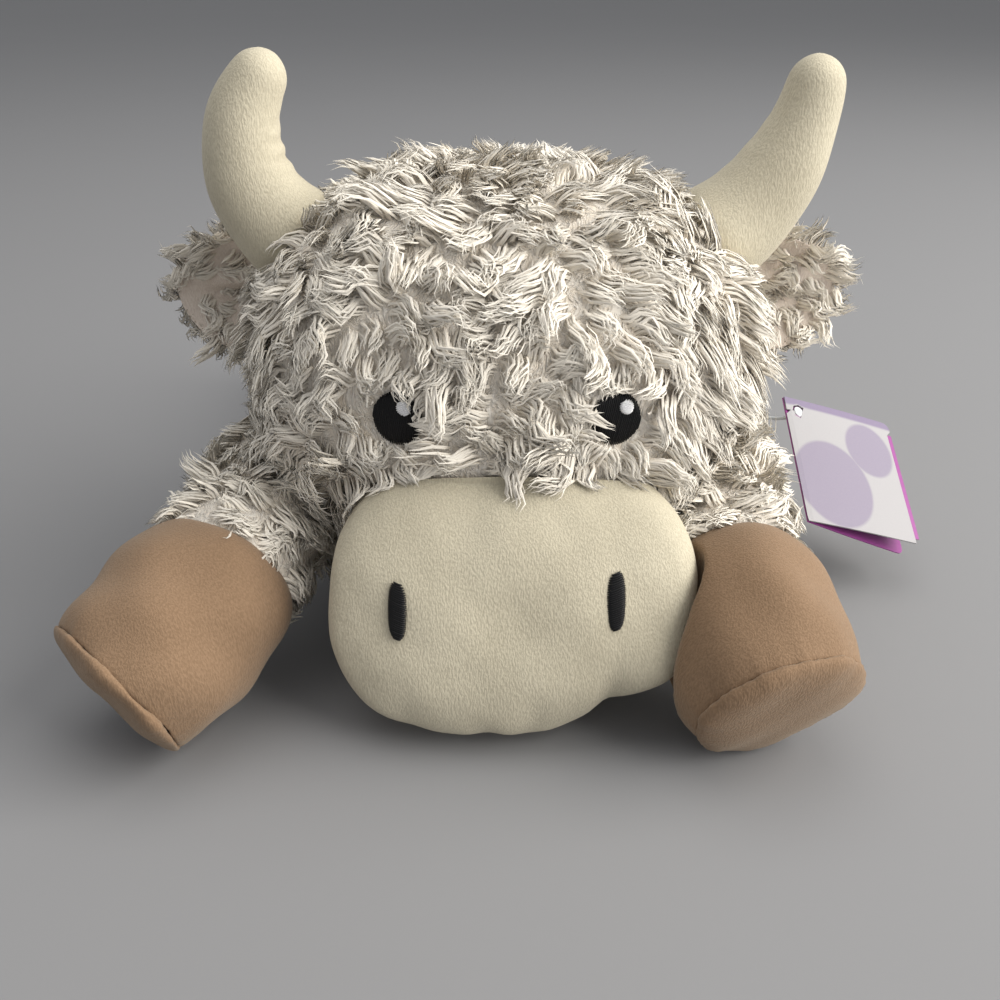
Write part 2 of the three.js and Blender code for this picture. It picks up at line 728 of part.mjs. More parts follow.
// The folded card and the pin that holds it. Locally X runs from the fold to the open edge,
// Y runs up the card and Z stands out of its front.
class SwingTag {
  constructor() {
    const across = new THREE.Vector3(...TAG_DIRECTION.across).normalize();
    const down = new THREE.Vector3(...TAG_DIRECTION.down);
    this.front = new THREE.Vector3().crossVectors(down, across).normalize();
    const upward = new THREE.Vector3().crossVectors(this.front, across);
    this.fold = upward.clone().negate();
    this.place = new THREE.Matrix4()
      .makeBasis(across, upward, this.front)
      .setPosition(TAG_CORNER_PLACE);
    this.hole = new THREE.Vector3(TAG_HOLE_INSET, -TAG_HOLE_INSET, 0).applyMatrix4(this.place);
    const seat = placeOnTrunk(PIN_SPREAD, PIN_RISE, 1);
    const root = seat.point.addScaledVector(seat.normal, -PIN_DEPTH);
    const bend = this.hole.clone().addScaledVector(this.front, -PIN_BEND);
    const tip = this.hole.clone().addScaledVector(this.front, SEAM_GAP);
    this.pinCurve = new THREE.QuadraticBezierCurve3(root, bend, tip);
  }

  pinShaft(outset) {
    const radius = PIN_DIAMETER / 2 + outset;
    const shares = [0, 0.2, 0.4, 0.55, 0.7, 0.8, 0.9, 1];
    return loft(
      shares.map((share) => {
        const direction = this.pinCurve.getTangentAt(share);
        return ring(this.pinCurve.getPointAt(share), direction, UP, radius, radius, 10);
      }),
    );
  }

  leaf(holeDiameter) {
    const outline = new THREE.Shape();
    const r = TAG_CORNER;
    outline.moveTo(0, 0);
    outline.lineTo(0, -TAG_HEIGHT);
    outline.lineTo(TAG_WIDTH - r, -TAG_HEIGHT);
    outline.absarc(TAG_WIDTH - r, r - TAG_HEIGHT, r, -Math.PI / 2, 0);
    outline.lineTo(TAG_WIDTH, -r);
    outline.absarc(TAG_WIDTH - r, -r, r, 0, Math.PI / 2);
    const hole = new THREE.Path();
    hole.absarc(TAG_HOLE_INSET, -TAG_HOLE_INSET, holeDiameter / 2, 0, 2 * Math.PI);
    outline.holes.push(hole);
    return new THREE.ExtrudeGeometry(outline, {
      depth: TAG_CARD, bevelEnabled: false, curveSegments: 5,
    });
  }

  group() {
    const tag = new THREE.Group();
    tag.applyMatrix4(this.place);
    const back = new THREE.Mesh(this.leaf(TAG_HOLE_DIAMETER), WHITE_CARD);
    back.name = "tag_back_leaf";
    back.position.z = -TAG_CARD - SEAM_GAP / 2;
    const hinge = new THREE.Group();
    hinge.rotation.y = -toRadians(TAG_AJAR);
    const front = new THREE.Mesh(this.leaf(TAG_COVER_HOLE_DIAMETER), WHITE_CARD);
    front.name = "tag_front_leaf";
    front.position.z = SEAM_GAP / 2;
    hinge.add(front);
    tag.add(back, hinge);
    return tag;
  }

  pin() {
    const knob = rod(
      this.hole, this.front, PIN_HEAD_DIAMETER, PIN_HEAD_DIAMETER, SEAM_GAP, PIN_HEAD_THICKNESS,
    );
    return piece("tag_pin", this.pinShaft(0).add(knob), CLEAR_PLASTIC);
  }
}

// A ribbon folded double, sewn into the trunk's side.
function careLabel(trunk) {
  const seat = placeOnTrunk(LABEL_SPREAD, 0, -1);
  const tangent = new THREE.Vector3().crossVectors(UP, seat.normal).normalize();
  const upright = new THREE.Vector3().crossVectors(seat.normal, tangent);
  const place = new THREE.Matrix4()
    .makeBasis(seat.normal, upright, tangent.clone().negate())
    .setPosition(seat.point);
  const half = LABEL_RIBBON * 1.5;
  const outline = new THREE.Shape();
  outline.moveTo(-LABEL_WIDTH / 2, -half);
  outline.lineTo(LABEL_LENGTH, -half);
  outline.lineTo(LABEL_LENGTH, half);
  outline.lineTo(-LABEL_WIDTH / 2, half);
  outline.lineTo(-LABEL_WIDTH / 2, half - LABEL_RIBBON);
  outline.lineTo(LABEL_LENGTH - LABEL_RIBBON, half - LABEL_RIBBON);
  outline.lineTo(LABEL_LENGTH - LABEL_RIBBON, LABEL_RIBBON - half);
  outline.lineTo(-LABEL_WIDTH / 2, LABEL_RIBBON - half);
  const ribbon = new THREE.ExtrudeGeometry(outline, { depth: LABEL_WIDTH, bevelEnabled: false });
  ribbon.translate(0, 0, -LABEL_WIDTH / 2);
  ribbon.applyMatrix4(place);
  return piece("care_label", largest(solidOf(ribbon).subtract(trunk)), LABEL_SATIN);
}

function bellyPanel() {
  const height = (TRUNK_AXIS_HEIGHT - BELLY_CUT) / TRUNK_RADIUS;
  const share = Math.sqrt(1 - height * height);
  const wide = (TRUNK_WIDTH / 2) * share;
  const outline = new THREE.Shape();
  outline.absellipse(0, 0, wide, TRUNK_REAR * share, 0, Math.PI);
  outline.absellipse(0, 0, wide, TRUNK_RADIUS * share, Math.PI, 2 * Math.PI);
  const panel = new THREE.ExtrudeGeometry(outline, {
    depth: BELLY_PANEL_THICKNESS, bevelEnabled: false, curveSegments: 10,
  });
  return piece("belly_panel", solidOf(panel), SHAGGY_CREAM);
}

function build() {
  const toy = new THREE.Group();
  toy.name = "plush_buffalo";
  const legs = SIDES.flatMap((side) => [
    new Leg("foreleg", side, FORELEG, FORELEG_POSE[side.name]),
    new Leg("hindleg", side, HINDLEG, HINDLEG_POSE[side.name]),
  ]);
  const horns = SIDES.map((side) => new Horn(side));
  const ears = SIDES.map((side) => new Ear(side));
  const eyes = SIDES.map((side) => new Eye(side));
  const tail = new Tail();
  const tag = new SwingTag();
  const cutAway = (solid, blockers) => blockers.reduce((rest, b) => rest.subtract(b), solid);

  const far = 2 * (TRUNK_REAR + TRUNK_WIDTH);
  const aboveBelly = block(
    new THREE.Vector3(-far, -far, BELLY_CUT),
    new THREE.Vector3(far, far, far),
  );
  const trunkOut = trunkForm(0).intersect(aboveBelly);
  const sockets = legs.map((leg) => leg.socket(SWING_GAP));
  const trunkSkin = cutAway(trunkOut, [
    trunkForm(-FUR_CLOTH, 14, 8), ...sockets, tail.socket(SWING_GAP), tag.pinShaft(SEAM_GAP),
  ]);
  const pouchSemi = new THREE.Vector3(POUCH_WIDTH / 2, POUCH_LENGTH / 2, POUCH_HEIGHT);
  const pouchMiddle = new THREE.Vector3(0, (TRUNK_REAR - TRUNK_RADIUS) / 4, BELLY_CUT);
  const pouch = (outset) => stuffedForm(pouchMiddle, pouchSemi, 2.3, outset, 14, 8);
  const trunkStuffing = cutAway(trunkForm(-FUR_CLOTH - STUFFING_GAP, 14, 8).intersect(aboveBelly), [
    ...sockets, tail.socket(SWING_GAP), pouch(SEAM_GAP),
  ]);
  toy.add(
    piece("trunk_skin", largest(trunkSkin), SHAGGY_CREAM),
    piece("trunk_stuffing", largest(trunkStuffing), STUFFING),
    piece("bean_pouch", pouch(0).intersect(aboveBelly), POUCH_LINEN),
    bellyPanel(),
    careLabel(trunkForm(SEAM_GAP)),
    tag.pin(),
    tag.group(),
    ...tail.pieces(trunkForm(SWING_GAP + CARVE_ROOM, 14, 10)),
  );

  const bowl = chestBowl(SWING_GAP);
  const clearOfBack = (solid) =>
    clearOfSwing(solid, trunkForm(SWING_GAP), NOD_AXIS, LEFT, -NOD_LIFT, 0);
  const headSkin = cutAway(clearOfBack(headForm(0)), [
    bowl,
    headForm(-FUR_CLOTH, 14, 8),
    ...eyes.map((eye) => eye.recess()),
    ...horns.map((horn) => horn.socket(SWING_GAP)),
    ...ears.map((ear) => ear.socket(0)),
  ]);
  const headStuffing = cutAway(headForm(-FUR_CLOTH - STUFFING_GAP, 14, 8), [
    bowl,
    ...horns.map((horn) => horn.socket(SWING_GAP)),
    ...ears.map((ear) => ear.socket(0)),
  ]);
  const sewnToHead = headForm(SEAM_GAP);
  const muzzleOut = muzzleForm(0).subtract(sewnToHead);
  toy.add(
    piece("head_skin", largest(headSkin), SHAGGY_CREAM),
    piece("head_stuffing", largest(headStuffing), STUFFING),
    piece("muzzle_skin", largest(muzzleOut.subtract(muzzleForm(-VELVET_CLOTH))), VELVET_CREAM),
    piece(
      "muzzle_stuffing",
      largest(muzzleForm(-VELVET_CLOTH - STUFFING_GAP).subtract(sewnToHead)),
      STUFFING,
    ),
    ...SIDES.map(nostril),
    ...eyes.flatMap((eye) => eye.pieces()),
    ...horns.flatMap((horn) => horn.pieces()),
    ...ears.flatMap((ear) => ear.pieces(headForm(SWING_GAP + CARVE_ROOM / 2))),
  );

  const headRoom = throughNod(
    headForm(SWING_GAP + CARVE_ROOM).add(muzzleForm(SWING_GAP + CARVE_ROOM)),
  );
  for (const leg of legs) {
    const trunk = trunkForm(SWING_GAP + CARVE_ROOM, 14, 10).subtract(leg.socket(SEAM_GAP));
    toy.add(...leg.pieces([trunk, headRoom]));
  }
  const hinge = (parent, child, pivot, axis, range) => ({ parent, child, pivot, axis, range });
  const perSide = (name, parent, pivot, axis, range) => [
    `${name}_swing`,
    hinge(parent, name, pivot, axis, range),
  ];
  toy.userData.joints = {
    head_nod: hinge("trunk", "head", NOD_AXIS, LEFT, [-NOD_LIFT, 0]),
    ...Object.fromEntries([
      ...legs.map((leg) =>
        perSide(`${leg.name}_${leg.side.name}`, "trunk", leg.root, UP, leg.swingRange),
      ),
      ...horns.map((horn) =>
        perSide(`horn_${horn.side.name}`, "head", horn.root, BACK, [-HORN_SWING, HORN_SWING]),
      ),
      ...ears.map((ear) => perSide(`ear_${ear.side.name}`, "head", ear.root, BACK, ear.swingRange)),
    ]),
    tail_swing: hinge("trunk", "tail", tail.root, UP, [-TAIL_SWING, TAIL_SWING]),
    tag_swing: hinge("trunk", "tag", tag.hole, tag.front, [-TAG_SWING, TAG_SWING]),
    tag_open: hinge("tag", "tag_cover", TAG_CORNER_PLACE, tag.fold, [-TAG_CLOSES, TAG_OPENS]),
  };
  return toy;
}

export default build();
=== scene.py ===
"""A shaggy cream plush buffalo lying on its belly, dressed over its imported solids.

Sizes in the classes are millimetres and angles are degrees; meshes are written in metres.
The toy faces -Y, its own left side is at +X, and it lies on the table at Z = 0.
"""

from __future__ import annotations

import logging
import math
from collections.abc import Callable, Iterator, Sequence
from contextlib import contextmanager
from dataclasses import dataclass, field, fields
from enum import Enum
from functools import cached_property

import bmesh
import bpy
import numpy as np
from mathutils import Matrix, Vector
from mathutils.kdtree import KDTree

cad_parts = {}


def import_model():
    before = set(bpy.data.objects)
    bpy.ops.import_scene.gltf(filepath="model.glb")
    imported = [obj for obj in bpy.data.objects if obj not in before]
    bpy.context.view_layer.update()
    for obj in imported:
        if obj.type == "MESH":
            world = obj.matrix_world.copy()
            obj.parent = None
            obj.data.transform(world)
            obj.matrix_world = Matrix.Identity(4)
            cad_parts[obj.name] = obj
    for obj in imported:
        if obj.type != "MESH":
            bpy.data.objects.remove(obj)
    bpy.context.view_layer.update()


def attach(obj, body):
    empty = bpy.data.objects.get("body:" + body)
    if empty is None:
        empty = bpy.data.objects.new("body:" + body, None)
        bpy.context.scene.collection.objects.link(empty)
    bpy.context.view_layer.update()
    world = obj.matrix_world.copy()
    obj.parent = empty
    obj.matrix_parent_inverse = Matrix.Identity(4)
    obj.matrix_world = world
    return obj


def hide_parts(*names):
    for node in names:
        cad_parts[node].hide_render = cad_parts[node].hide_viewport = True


LOG = logging.getLogger("plush_buffalo")
MM = 0.001
FULL_TURN = 2.0 * math.pi
PHASES = 6.28  # just short of a full turn, the span of a random start
RIB_TURN = 6.2832  # a full turn, as the velvet's ribs were set out with it
UP = np.array((0.0, 0.0, 1.0))
BACK = np.array((0.0, 1.0, 0.0))
LEFT = np.array((1.0, 0.0, 0.0))

Array = np.ndarray
Chance = np.random.Generator
Piece = bpy.types.Object
Socket = bpy.types.NodeSocket
Triple = tuple[float, float, float]
Flow = Callable[[Array], Array]
Mask = Callable[[Array], Array]
Shove = Callable[[Array], Array]
Inputs = dict[str | int, object]


class Side(Enum):
    """The toy's own sides; the value is the sign of X there."""

    LEFT = 1
    RIGHT = -1

    @property
    def word(self) -> str:
        """The side as it stands in node names."""
        return self.name.lower()


def unit(vectors: Array) -> Array:
    """Vectors brought to length one."""
    length = np.linalg.norm(vectors, axis=-1, keepdims=True)
    return vectors / np.maximum(length, 1e-9)


def smoothstep(value: Array | float, low: float, high: float) -> Array:
    """A soft step from 0 at low to 1 at high."""
    t = np.clip((np.asarray(value, float) - low) / (high - low), 0.0, 1.0)
    return t * t * (3.0 - 2.0 * t)


def lerp(a: Array | float, b: Array | float, share: Array | float) -> Array:
    """The blend of a and b at a share."""
    return a + (b - a) * share


@dataclass(frozen=True)
class Sway:
    """A slow, smooth vector field.

    Attributes:
        wavelength: How far apart its eddies lie.
        seed: Which field.
        strength: About how long its vectors are.
        waves: How many waves are summed.
    """

    wavelength: float
    seed: int
    strength: float = 1.0
    waves: int = 7

    def at(self, points: Array) -> Array:
        """The field's vectors at points.

        Args:
            points: One row each.

        Returns:
            One vector for each point.
        """
        rng = np.random.default_rng(self.seed)
        waves = unit(rng.normal(size=(self.waves, 3))) * (FULL_TURN / self.wavelength)
        waves *= rng.uniform(0.6, 1.5, size=(self.waves, 1))
        phases = rng.uniform(0.0, FULL_TURN, size=(self.waves, 3))
        summed = np.sin((points @ waves.T)[:, :, None] + phases).sum(axis=1)
        return summed / 2.2 * self.strength


def ring(
    place: Array, ahead: Array, reference: Array, wide: float, high: float, sides: int
) -> Array:
    """Points on an oval round a place.

    Args:
        place: Middle of the oval.
        ahead: Direction that the oval is square to.
        reference: Direction that the oval's height leans to.
        wide: Half its width.
        high: Half its height.
        sides: Number of points.

    Returns:
        The points, one row each.
    """
    side = unit(np.cross(reference, ahead))
    top = unit(np.cross(ahead, side))
    angle = np.linspace(0.0, FULL_TURN, sides, endpoint=False)[:, None]
    return place + wide * np.cos(angle) * side + high * np.sin(angle) * top


# Forms


@dataclass(frozen=True)
class StuffedForm:
    """A rounded block round a middle; fullness 2 is an ellipsoid and more is boxier."""

    centre: Triple
    semi: Triple
    fullness: float = 2.0
    rear: float | None = None

    def upright(self, points: Array, outset: float) -> Array:
        """Points with a form's own slope taken back out; a plain one has none."""
        return points

    def reaches(self, local: Array, outset: float) -> Array:
        """The half sizes that hold at points given from the middle.

        Args:
            local: Points given from the middle.
            outset: How far the form is grown.

        Returns:
            Three half sizes for each point.
        """
        semi = np.broadcast_to(np.array(self.semi), local.shape).copy()
        if self.rear is not None:
            semi[..., 1] = np.where(local[..., 1] > 0.0, self.rear, semi[..., 1])
        return semi + outset

    def place(self, directions: Array, outset: float = 0.0) -> Array:
        """The points of the form, grown by an outset, in scaled directions.

        Args:
            directions: One row each.
            outset: How far the form is grown.

        Returns:
            The points.
        """
        f = self.fullness
        reach = (np.abs(directions) ** f).sum(axis=-1, keepdims=True) ** (-1.0 / f)
        return self.centre + directions * reach * self.reaches(directions, outset)

    def fill(self, points: Array, outset: float = 0.0) -> Array:
        """How far out points lie: 1 on the form, less inside it.

        Args:
            points: One row each.
            outset: How far the form is grown.

        Returns:
            One number for each point.
        """
        local = self.upright(points, outset) - np.array(self.centre)
        scaled = np.abs(local / self.reaches(local, outset))
        return (scaled**self.fullness).sum(axis=-1) ** (1.0 / self.fullness)

    def onto(self, points: Array, outset: float) -> Array:
        """Points moved straight out, or in, to the grown form."""
        local = self.upright(points, outset) - np.array(self.centre)
        return self.place(unit(local / self.reaches(local, outset)), outset)

    def outward(self, points: Array) -> Array:
        """The outward direction at points near the form.

        Args:
            points: One row each.

        Returns:
            Unit vectors.
        """
        local = points - np.array(self.centre)
        semi = self.reaches(local, 0.0)
        scaled = local / semi
        return unit(np.sign(scaled) * np.abs(scaled) ** (self.fullness - 1.0) / semi)

    def seat(self, spread: float, rise: float, side: Side) -> tuple[Array, Array]:
        """A point of the form and its outward direction.

        Args:
            spread: Angle from straight ahead, round the form.
            rise: Angle above its middle.
            side: Which side it is on.

        Returns:
            The point and the direction.
        """
        s, r = math.radians(spread), math.radians(rise)
        level = np.array((side.value * math.sin(s), -math.cos(s), 0.0))
        point = self.place(level * math.cos(r) + UP * math.sin(r))
        return point, self.outward(point)

    def shove(self, outset: float) -> Shove:
        """A function that moves points out of the grown form.

        Args:
            outset: How far the form is grown.

        Returns:
            The function.
        """

        def out(points: Array) -> Array:
            """Points that lie inside come to the surface.

            Args:
                points: One row each.

            Returns:
                The same points, moved.
            """
            inside = self.fill(points, outset) < 1.0
            points[inside] = self.onto(points[inside], outset)
            return points

        return out


@dataclass(frozen=True)
class MuzzleForm(StuffedForm):
    """A stuffed form that narrows behind and slopes forward to the chin."""

    slope: float = 0.32
    taper: float = 0.55

    def narrowing(self, depth: Array) -> Array:
        """The share of the width that is left at a depth, -1 in front and 1 behind."""
        return 1.0 - self.taper * np.maximum(0.0, depth + 0.7) / 1.7

    def place(self, directions: Array, outset: float = 0.0) -> Array:
        """The points of the form, grown by an outset, in scaled directions.

        Args:
            directions: One row each.
            outset: How far the form is grown.

        Returns:
            The points.
        """
        local = super().place(directions, outset) - np.array(self.centre)
        local[..., 0] *= self.narrowing(local[..., 1] / (self.semi[1] + outset))
        local[..., 1] += self.slope * local[..., 2]
        return local + np.array(self.centre)

    def upright(self, points: Array, outset: float) -> Array:
        """Points with the slope and the narrowing taken back out.

        Args:
            points: One row each.
            outset: How far the form is grown.

        Returns:
            The points, moved.
        """
        local = points - np.array(self.centre)
        local[..., 1] -= self.slope * local[..., 2]
        local[..., 0] /= self.narrowing(np.clip(local[..., 1] / (self.semi[1] + outset), -1.0, 1.0))
        return local + np.array(self.centre)

    def front(self, x: Array, z: Array, outset: float) -> Array:
        """The points of the front face at given places across and up.

        Args:
            x: Places across.
            z: Places up.
            outset: How far the form is grown.

        Returns:
            The points.
        """
        wide, deep, high = (s + outset for s in self.semi)
        f = self.fullness
        up = z - self.centre[2]
        left = 1.0 - np.abs(x / wide) ** f - np.abs(up / high) ** f
        y = -deep * np.maximum(left, 0.0) ** (1.0 / f) + self.slope * up + self.centre[1]
        return np.stack((x, y, z), axis=-1)


HEAD = StuffedForm((0.0, -57.0, 101.0), (87.0, 67.0, 67.0), 2.4)
TRUNK = StuffedForm((0.0, 0.0, 48.0), (88.0, 62.0, 62.0), 2.0, rear=108.0)
MUZZLE = MuzzleForm((0.0, -114.0, 45.5), (62.5, 29.0, 43.5), 2.7)
BACKING = -5.0  # the cloth that the pile is knitted into, below the pile's tips
TABLE = 0.5  # nothing soft lies lower


class Bend:
    """A smooth curve through three handles, read by its length."""

    def __init__(self, start: Array, handle: Array, end: Array) -> None:
        """Samples the curve once.

        Args:
            start: First point.
            handle: Point that it bends towards.
            end: Last point.
        """
        t = np.linspace(0.0, 1.0, 121)[:, None]
        self.points = (1 - t) ** 2 * start + 2 * t * (1 - t) * handle + t**2 * end
        self.slopes = unit(2 * (1 - t) * (handle - start) + 2 * t * (end - handle))
        steps = np.linalg.norm(np.diff(self.points, axis=0), axis=1)
        self.length = float(steps.sum())
        self.shares = np.concatenate(((0.0,), np.cumsum(steps))) / self.length

    def read(self, values: Array, share: Array | float) -> Array:
        """A sampled value at a share of the length, or a column for each of several shares."""
        return np.array([np.interp(share, self.shares, values[:, i]) for i in range(3)])

    def at(self, share: float) -> Array:
        """The point at a share of the length."""
        return self.read(self.points, share)

    def ahead(self, share: float) -> Array:
        """The direction at a share of the length."""
        return unit(self.read(self.slopes, share))

    def nearest(self, points: Array) -> tuple[Array, Array, Array]:
        """Where points lie along the curve.

        Args:
            points: One row each.

        Returns:
            Each point's distance to the curve, its share there and the direction there.
        """
        gaps = np.linalg.norm(points[:, None, :] - self.points[None, ::3, :], axis=2)
        best = gaps.argmin(axis=1)
        return gaps.min(axis=1), self.shares[::3][best], self.slopes[::3][best]

    def middle(self, shares: Array) -> Array:
        """The points of the curve at several shares of its length."""
        return self.read(self.points, shares).T


# Mesh work

STAY = {"value": (0.0, 0.0, 0.0)}
SORT_AXIS = Vector((0.7313, 1.1379, 0.9247))  # square to nothing, so that no two points tie
SORT_BASE = 1e5


def alone(obj: Piece) -> Piece:
    """Selects one object and nothing else.

    Args:
        obj: The piece.

    Returns:
        The same object.
    """
    if bpy.context.mode != "OBJECT":
        bpy.ops.object.mode_set(mode="OBJECT")
    bpy.ops.object.select_all(action="DESELECT")
    obj.select_set(True)
    bpy.context.view_layer.objects.active = obj
    return obj


def new_piece(name: str) -> Piece:
    """Names the primitive that was just added.

    Args:
        name: The piece's name.

    Returns:
        The piece.
    """
    obj = alone(bpy.context.object)
    obj.name = obj.data.name = name
    return obj


@contextmanager
def editing(obj: Piece, action: str = "SELECT") -> Iterator[bmesh.types.BMesh]:
    """Opens a piece in edit mode with everything selected, or nothing, and closes it after.

    Args:
        obj: The piece.
        action: What is done with the selection first.

    Yields:
        The edited mesh.
    """
    alone(obj)
    bpy.ops.object.mode_set(mode="EDIT")
    bpy.ops.mesh.select_all(action=action)
    yield bmesh.from_edit_mesh(obj.data)
    bpy.ops.object.mode_set(mode="OBJECT")


def vectors_of(obj: Piece, key: str) -> Array:
    """One vector for each of an object's vertices.

    Args:
        obj: The piece.
        key: Which vector.

    Returns:
        One row each.
    """
    flat = np.empty(len(obj.data.vertices) * 3)
    obj.data.vertices.foreach_get(key, flat)
    return flat.reshape(-1, 3)


def places_of(obj: Piece) -> Array:
    """An object's vertices in millimetres."""
    return vectors_of(obj, "co") / MM


def normals_of(obj: Piece) -> Array:
    """An object's vertex normals."""
    return vectors_of(obj, "normal")


def above(points: Array, level: float) -> Array:
    """Points with none lower than a level."""
    points[:, 2] = np.maximum(points[:, 2], level)
    return points


def set_places(obj: Piece, points: Array) -> None:
    """Moves an object's vertices to places in millimetres."""
    obj.data.vertices.foreach_set("co", (points * MM).ravel())
    obj.data.update()


def push(obj: Piece, depths: Array) -> None:
    """Moves each vertex along its own normal."""
    set_places(obj, places_of(obj) + normals_of(obj) * depths[:, None])


def modify(obj: Piece, kind: str, **settings: object) -> Piece:
    """Adds one modifier and applies it.

    Args:
        obj: The piece.
        kind: The modifier's type.
        settings: Its values.

    Returns:
        The piece.
    """
    alone(obj)
    modifier = obj.modifiers.new(kind.title(), kind)
    for key, value in settings.items():
        setattr(modifier, key, value)
    bpy.ops.object.modifier_apply(modifier=modifier.name)
    return obj


def refine(obj: Piece, levels: int) -> Piece:
    """Rounds a piece off with a subdivision surface."""
    return modify(obj, "SUBSURF", levels=levels, render_levels=levels)


def tidy(obj: Piece) -> Piece:
    """Merges doubles, turns all faces outward and shades the piece smooth.

    Args:
        obj: The piece.

    Returns:
        The piece.
    """
    with editing(obj):
        bpy.ops.mesh.remove_doubles(threshold=1e-6)
        bpy.ops.mesh.normals_make_consistent(inside=False)
    bpy.ops.object.shade_smooth()
    return obj


def close_ring(mesh: bpy.types.Mesh, points: Array) -> None:
    """Draws the selected ring of an edited mesh in to its middle.

    Args:
        mesh: The edited mesh.
        points: The ring's own points.
    """
    bpy.ops.mesh.extrude_edges_move(TRANSFORM_OT_translate=STAY)
    bpy.ops.mesh.merge(type="CENTER")
    for vertex in [v for v in bmesh.from_edit_mesh(mesh).verts if v.select]:
        vertex.co = Vector(points.mean(axis=0) * MM)
    bmesh.update_edit_mesh(mesh)


def rank(part: bmesh.types.BMEdge | bmesh.types.BMFace) -> float:
    """One number that orders an edge or a face by its three lowest points."""
    low = sorted(v.index for v in part.verts)[:3]
    return float(sum(index * SORT_BASE ** (2 - i) for i, index in enumerate(low)))


def in_order(obj: Piece) -> Piece:
    """Sorts a mesh by place, because drawing out leaves its parts in a new order each run.

    Args:
        obj: The piece.

    Returns:
        The piece.
    """
    edited = bmesh.new()
    edited.from_mesh(obj.data)
    edited.verts.sort(key=lambda v: v.co.dot(SORT_AXIS))
    edited.verts.index_update()
    for parts in (edited.edges, edited.faces):
        parts.sort(key=rank)
    edited.to_mesh(obj.data)
    edited.free()
    return obj


def drawn_skin(name: str, rings: Sequence[Array]) -> Piece:
    """A closed skin drawn out of a circle ring by ring.

    Args:
        name: The piece's name.
        rings: Rings of points, all with the same count.

    Returns:
        The piece.
    """
    bpy.ops.object.select_all(action="DESELECT")
    sides = len(rings[0])
    bpy.ops.mesh.primitive_circle_add(vertices=sides, radius=0.01)
    obj = new_piece(name)
    set_places(obj, rings[0])
    with editing(obj):
        for last, points in zip(rings, rings[1:]):
            bpy.ops.mesh.extrude_edges_move(TRANSFORM_OT_translate=STAY)
            edited = bmesh.from_edit_mesh(obj.data)
            for vertex in [v for v in edited.verts if v.select]:
                gaps = np.linalg.norm(last - np.array(vertex.co) / MM, axis=1)
                vertex.co = Vector(points[gaps.argmin()] * MM)
            bmesh.update_edit_mesh(obj.data)
        close_ring(obj.data, rings[-1])
        bpy.ops.mesh.select_all(action="DESELECT")
        edited = bmesh.from_edit_mesh(obj.data)
        edited.verts.ensure_lookup_table()
        for vertex in edited.verts[:sides]:
            vertex.select_set(True)
        edited.select_flush(True)
        close_ring(obj.data, rings[0])
    return in_order(tidy(obj))


def round_ball(name: str, steps: int) -> Piece:
    """An even ball of radius one millimetre to be shaped.

    Args:
        name: The piece's name.
        steps: How finely it is divided.

    Returns:
        The piece.
    """
    bpy.ops.object.select_all(action="DESELECT")
    bpy.ops.mesh.primitive_ico_sphere_add(subdivisions=steps, radius=MM)
    return new_piece(name)


def cut_by(obj: Piece, cutter: Piece) -> Piece:
    """Takes a closed cutter out of a piece and removes the cutter.

    Args:
        obj: The piece.
        cutter: What is taken away.

    Returns:
        The piece.
    """
    modify(obj, "BOOLEAN", object=cutter, operation="DIFFERENCE", solver="EXACT")
    bpy.data.objects.remove(cutter)
    return tidy(obj)


# Finishes


def colour(rgb: Triple) -> tuple[float, float, float, float]:
    """A colour with its alpha."""
    return (*rgb, 1.0)


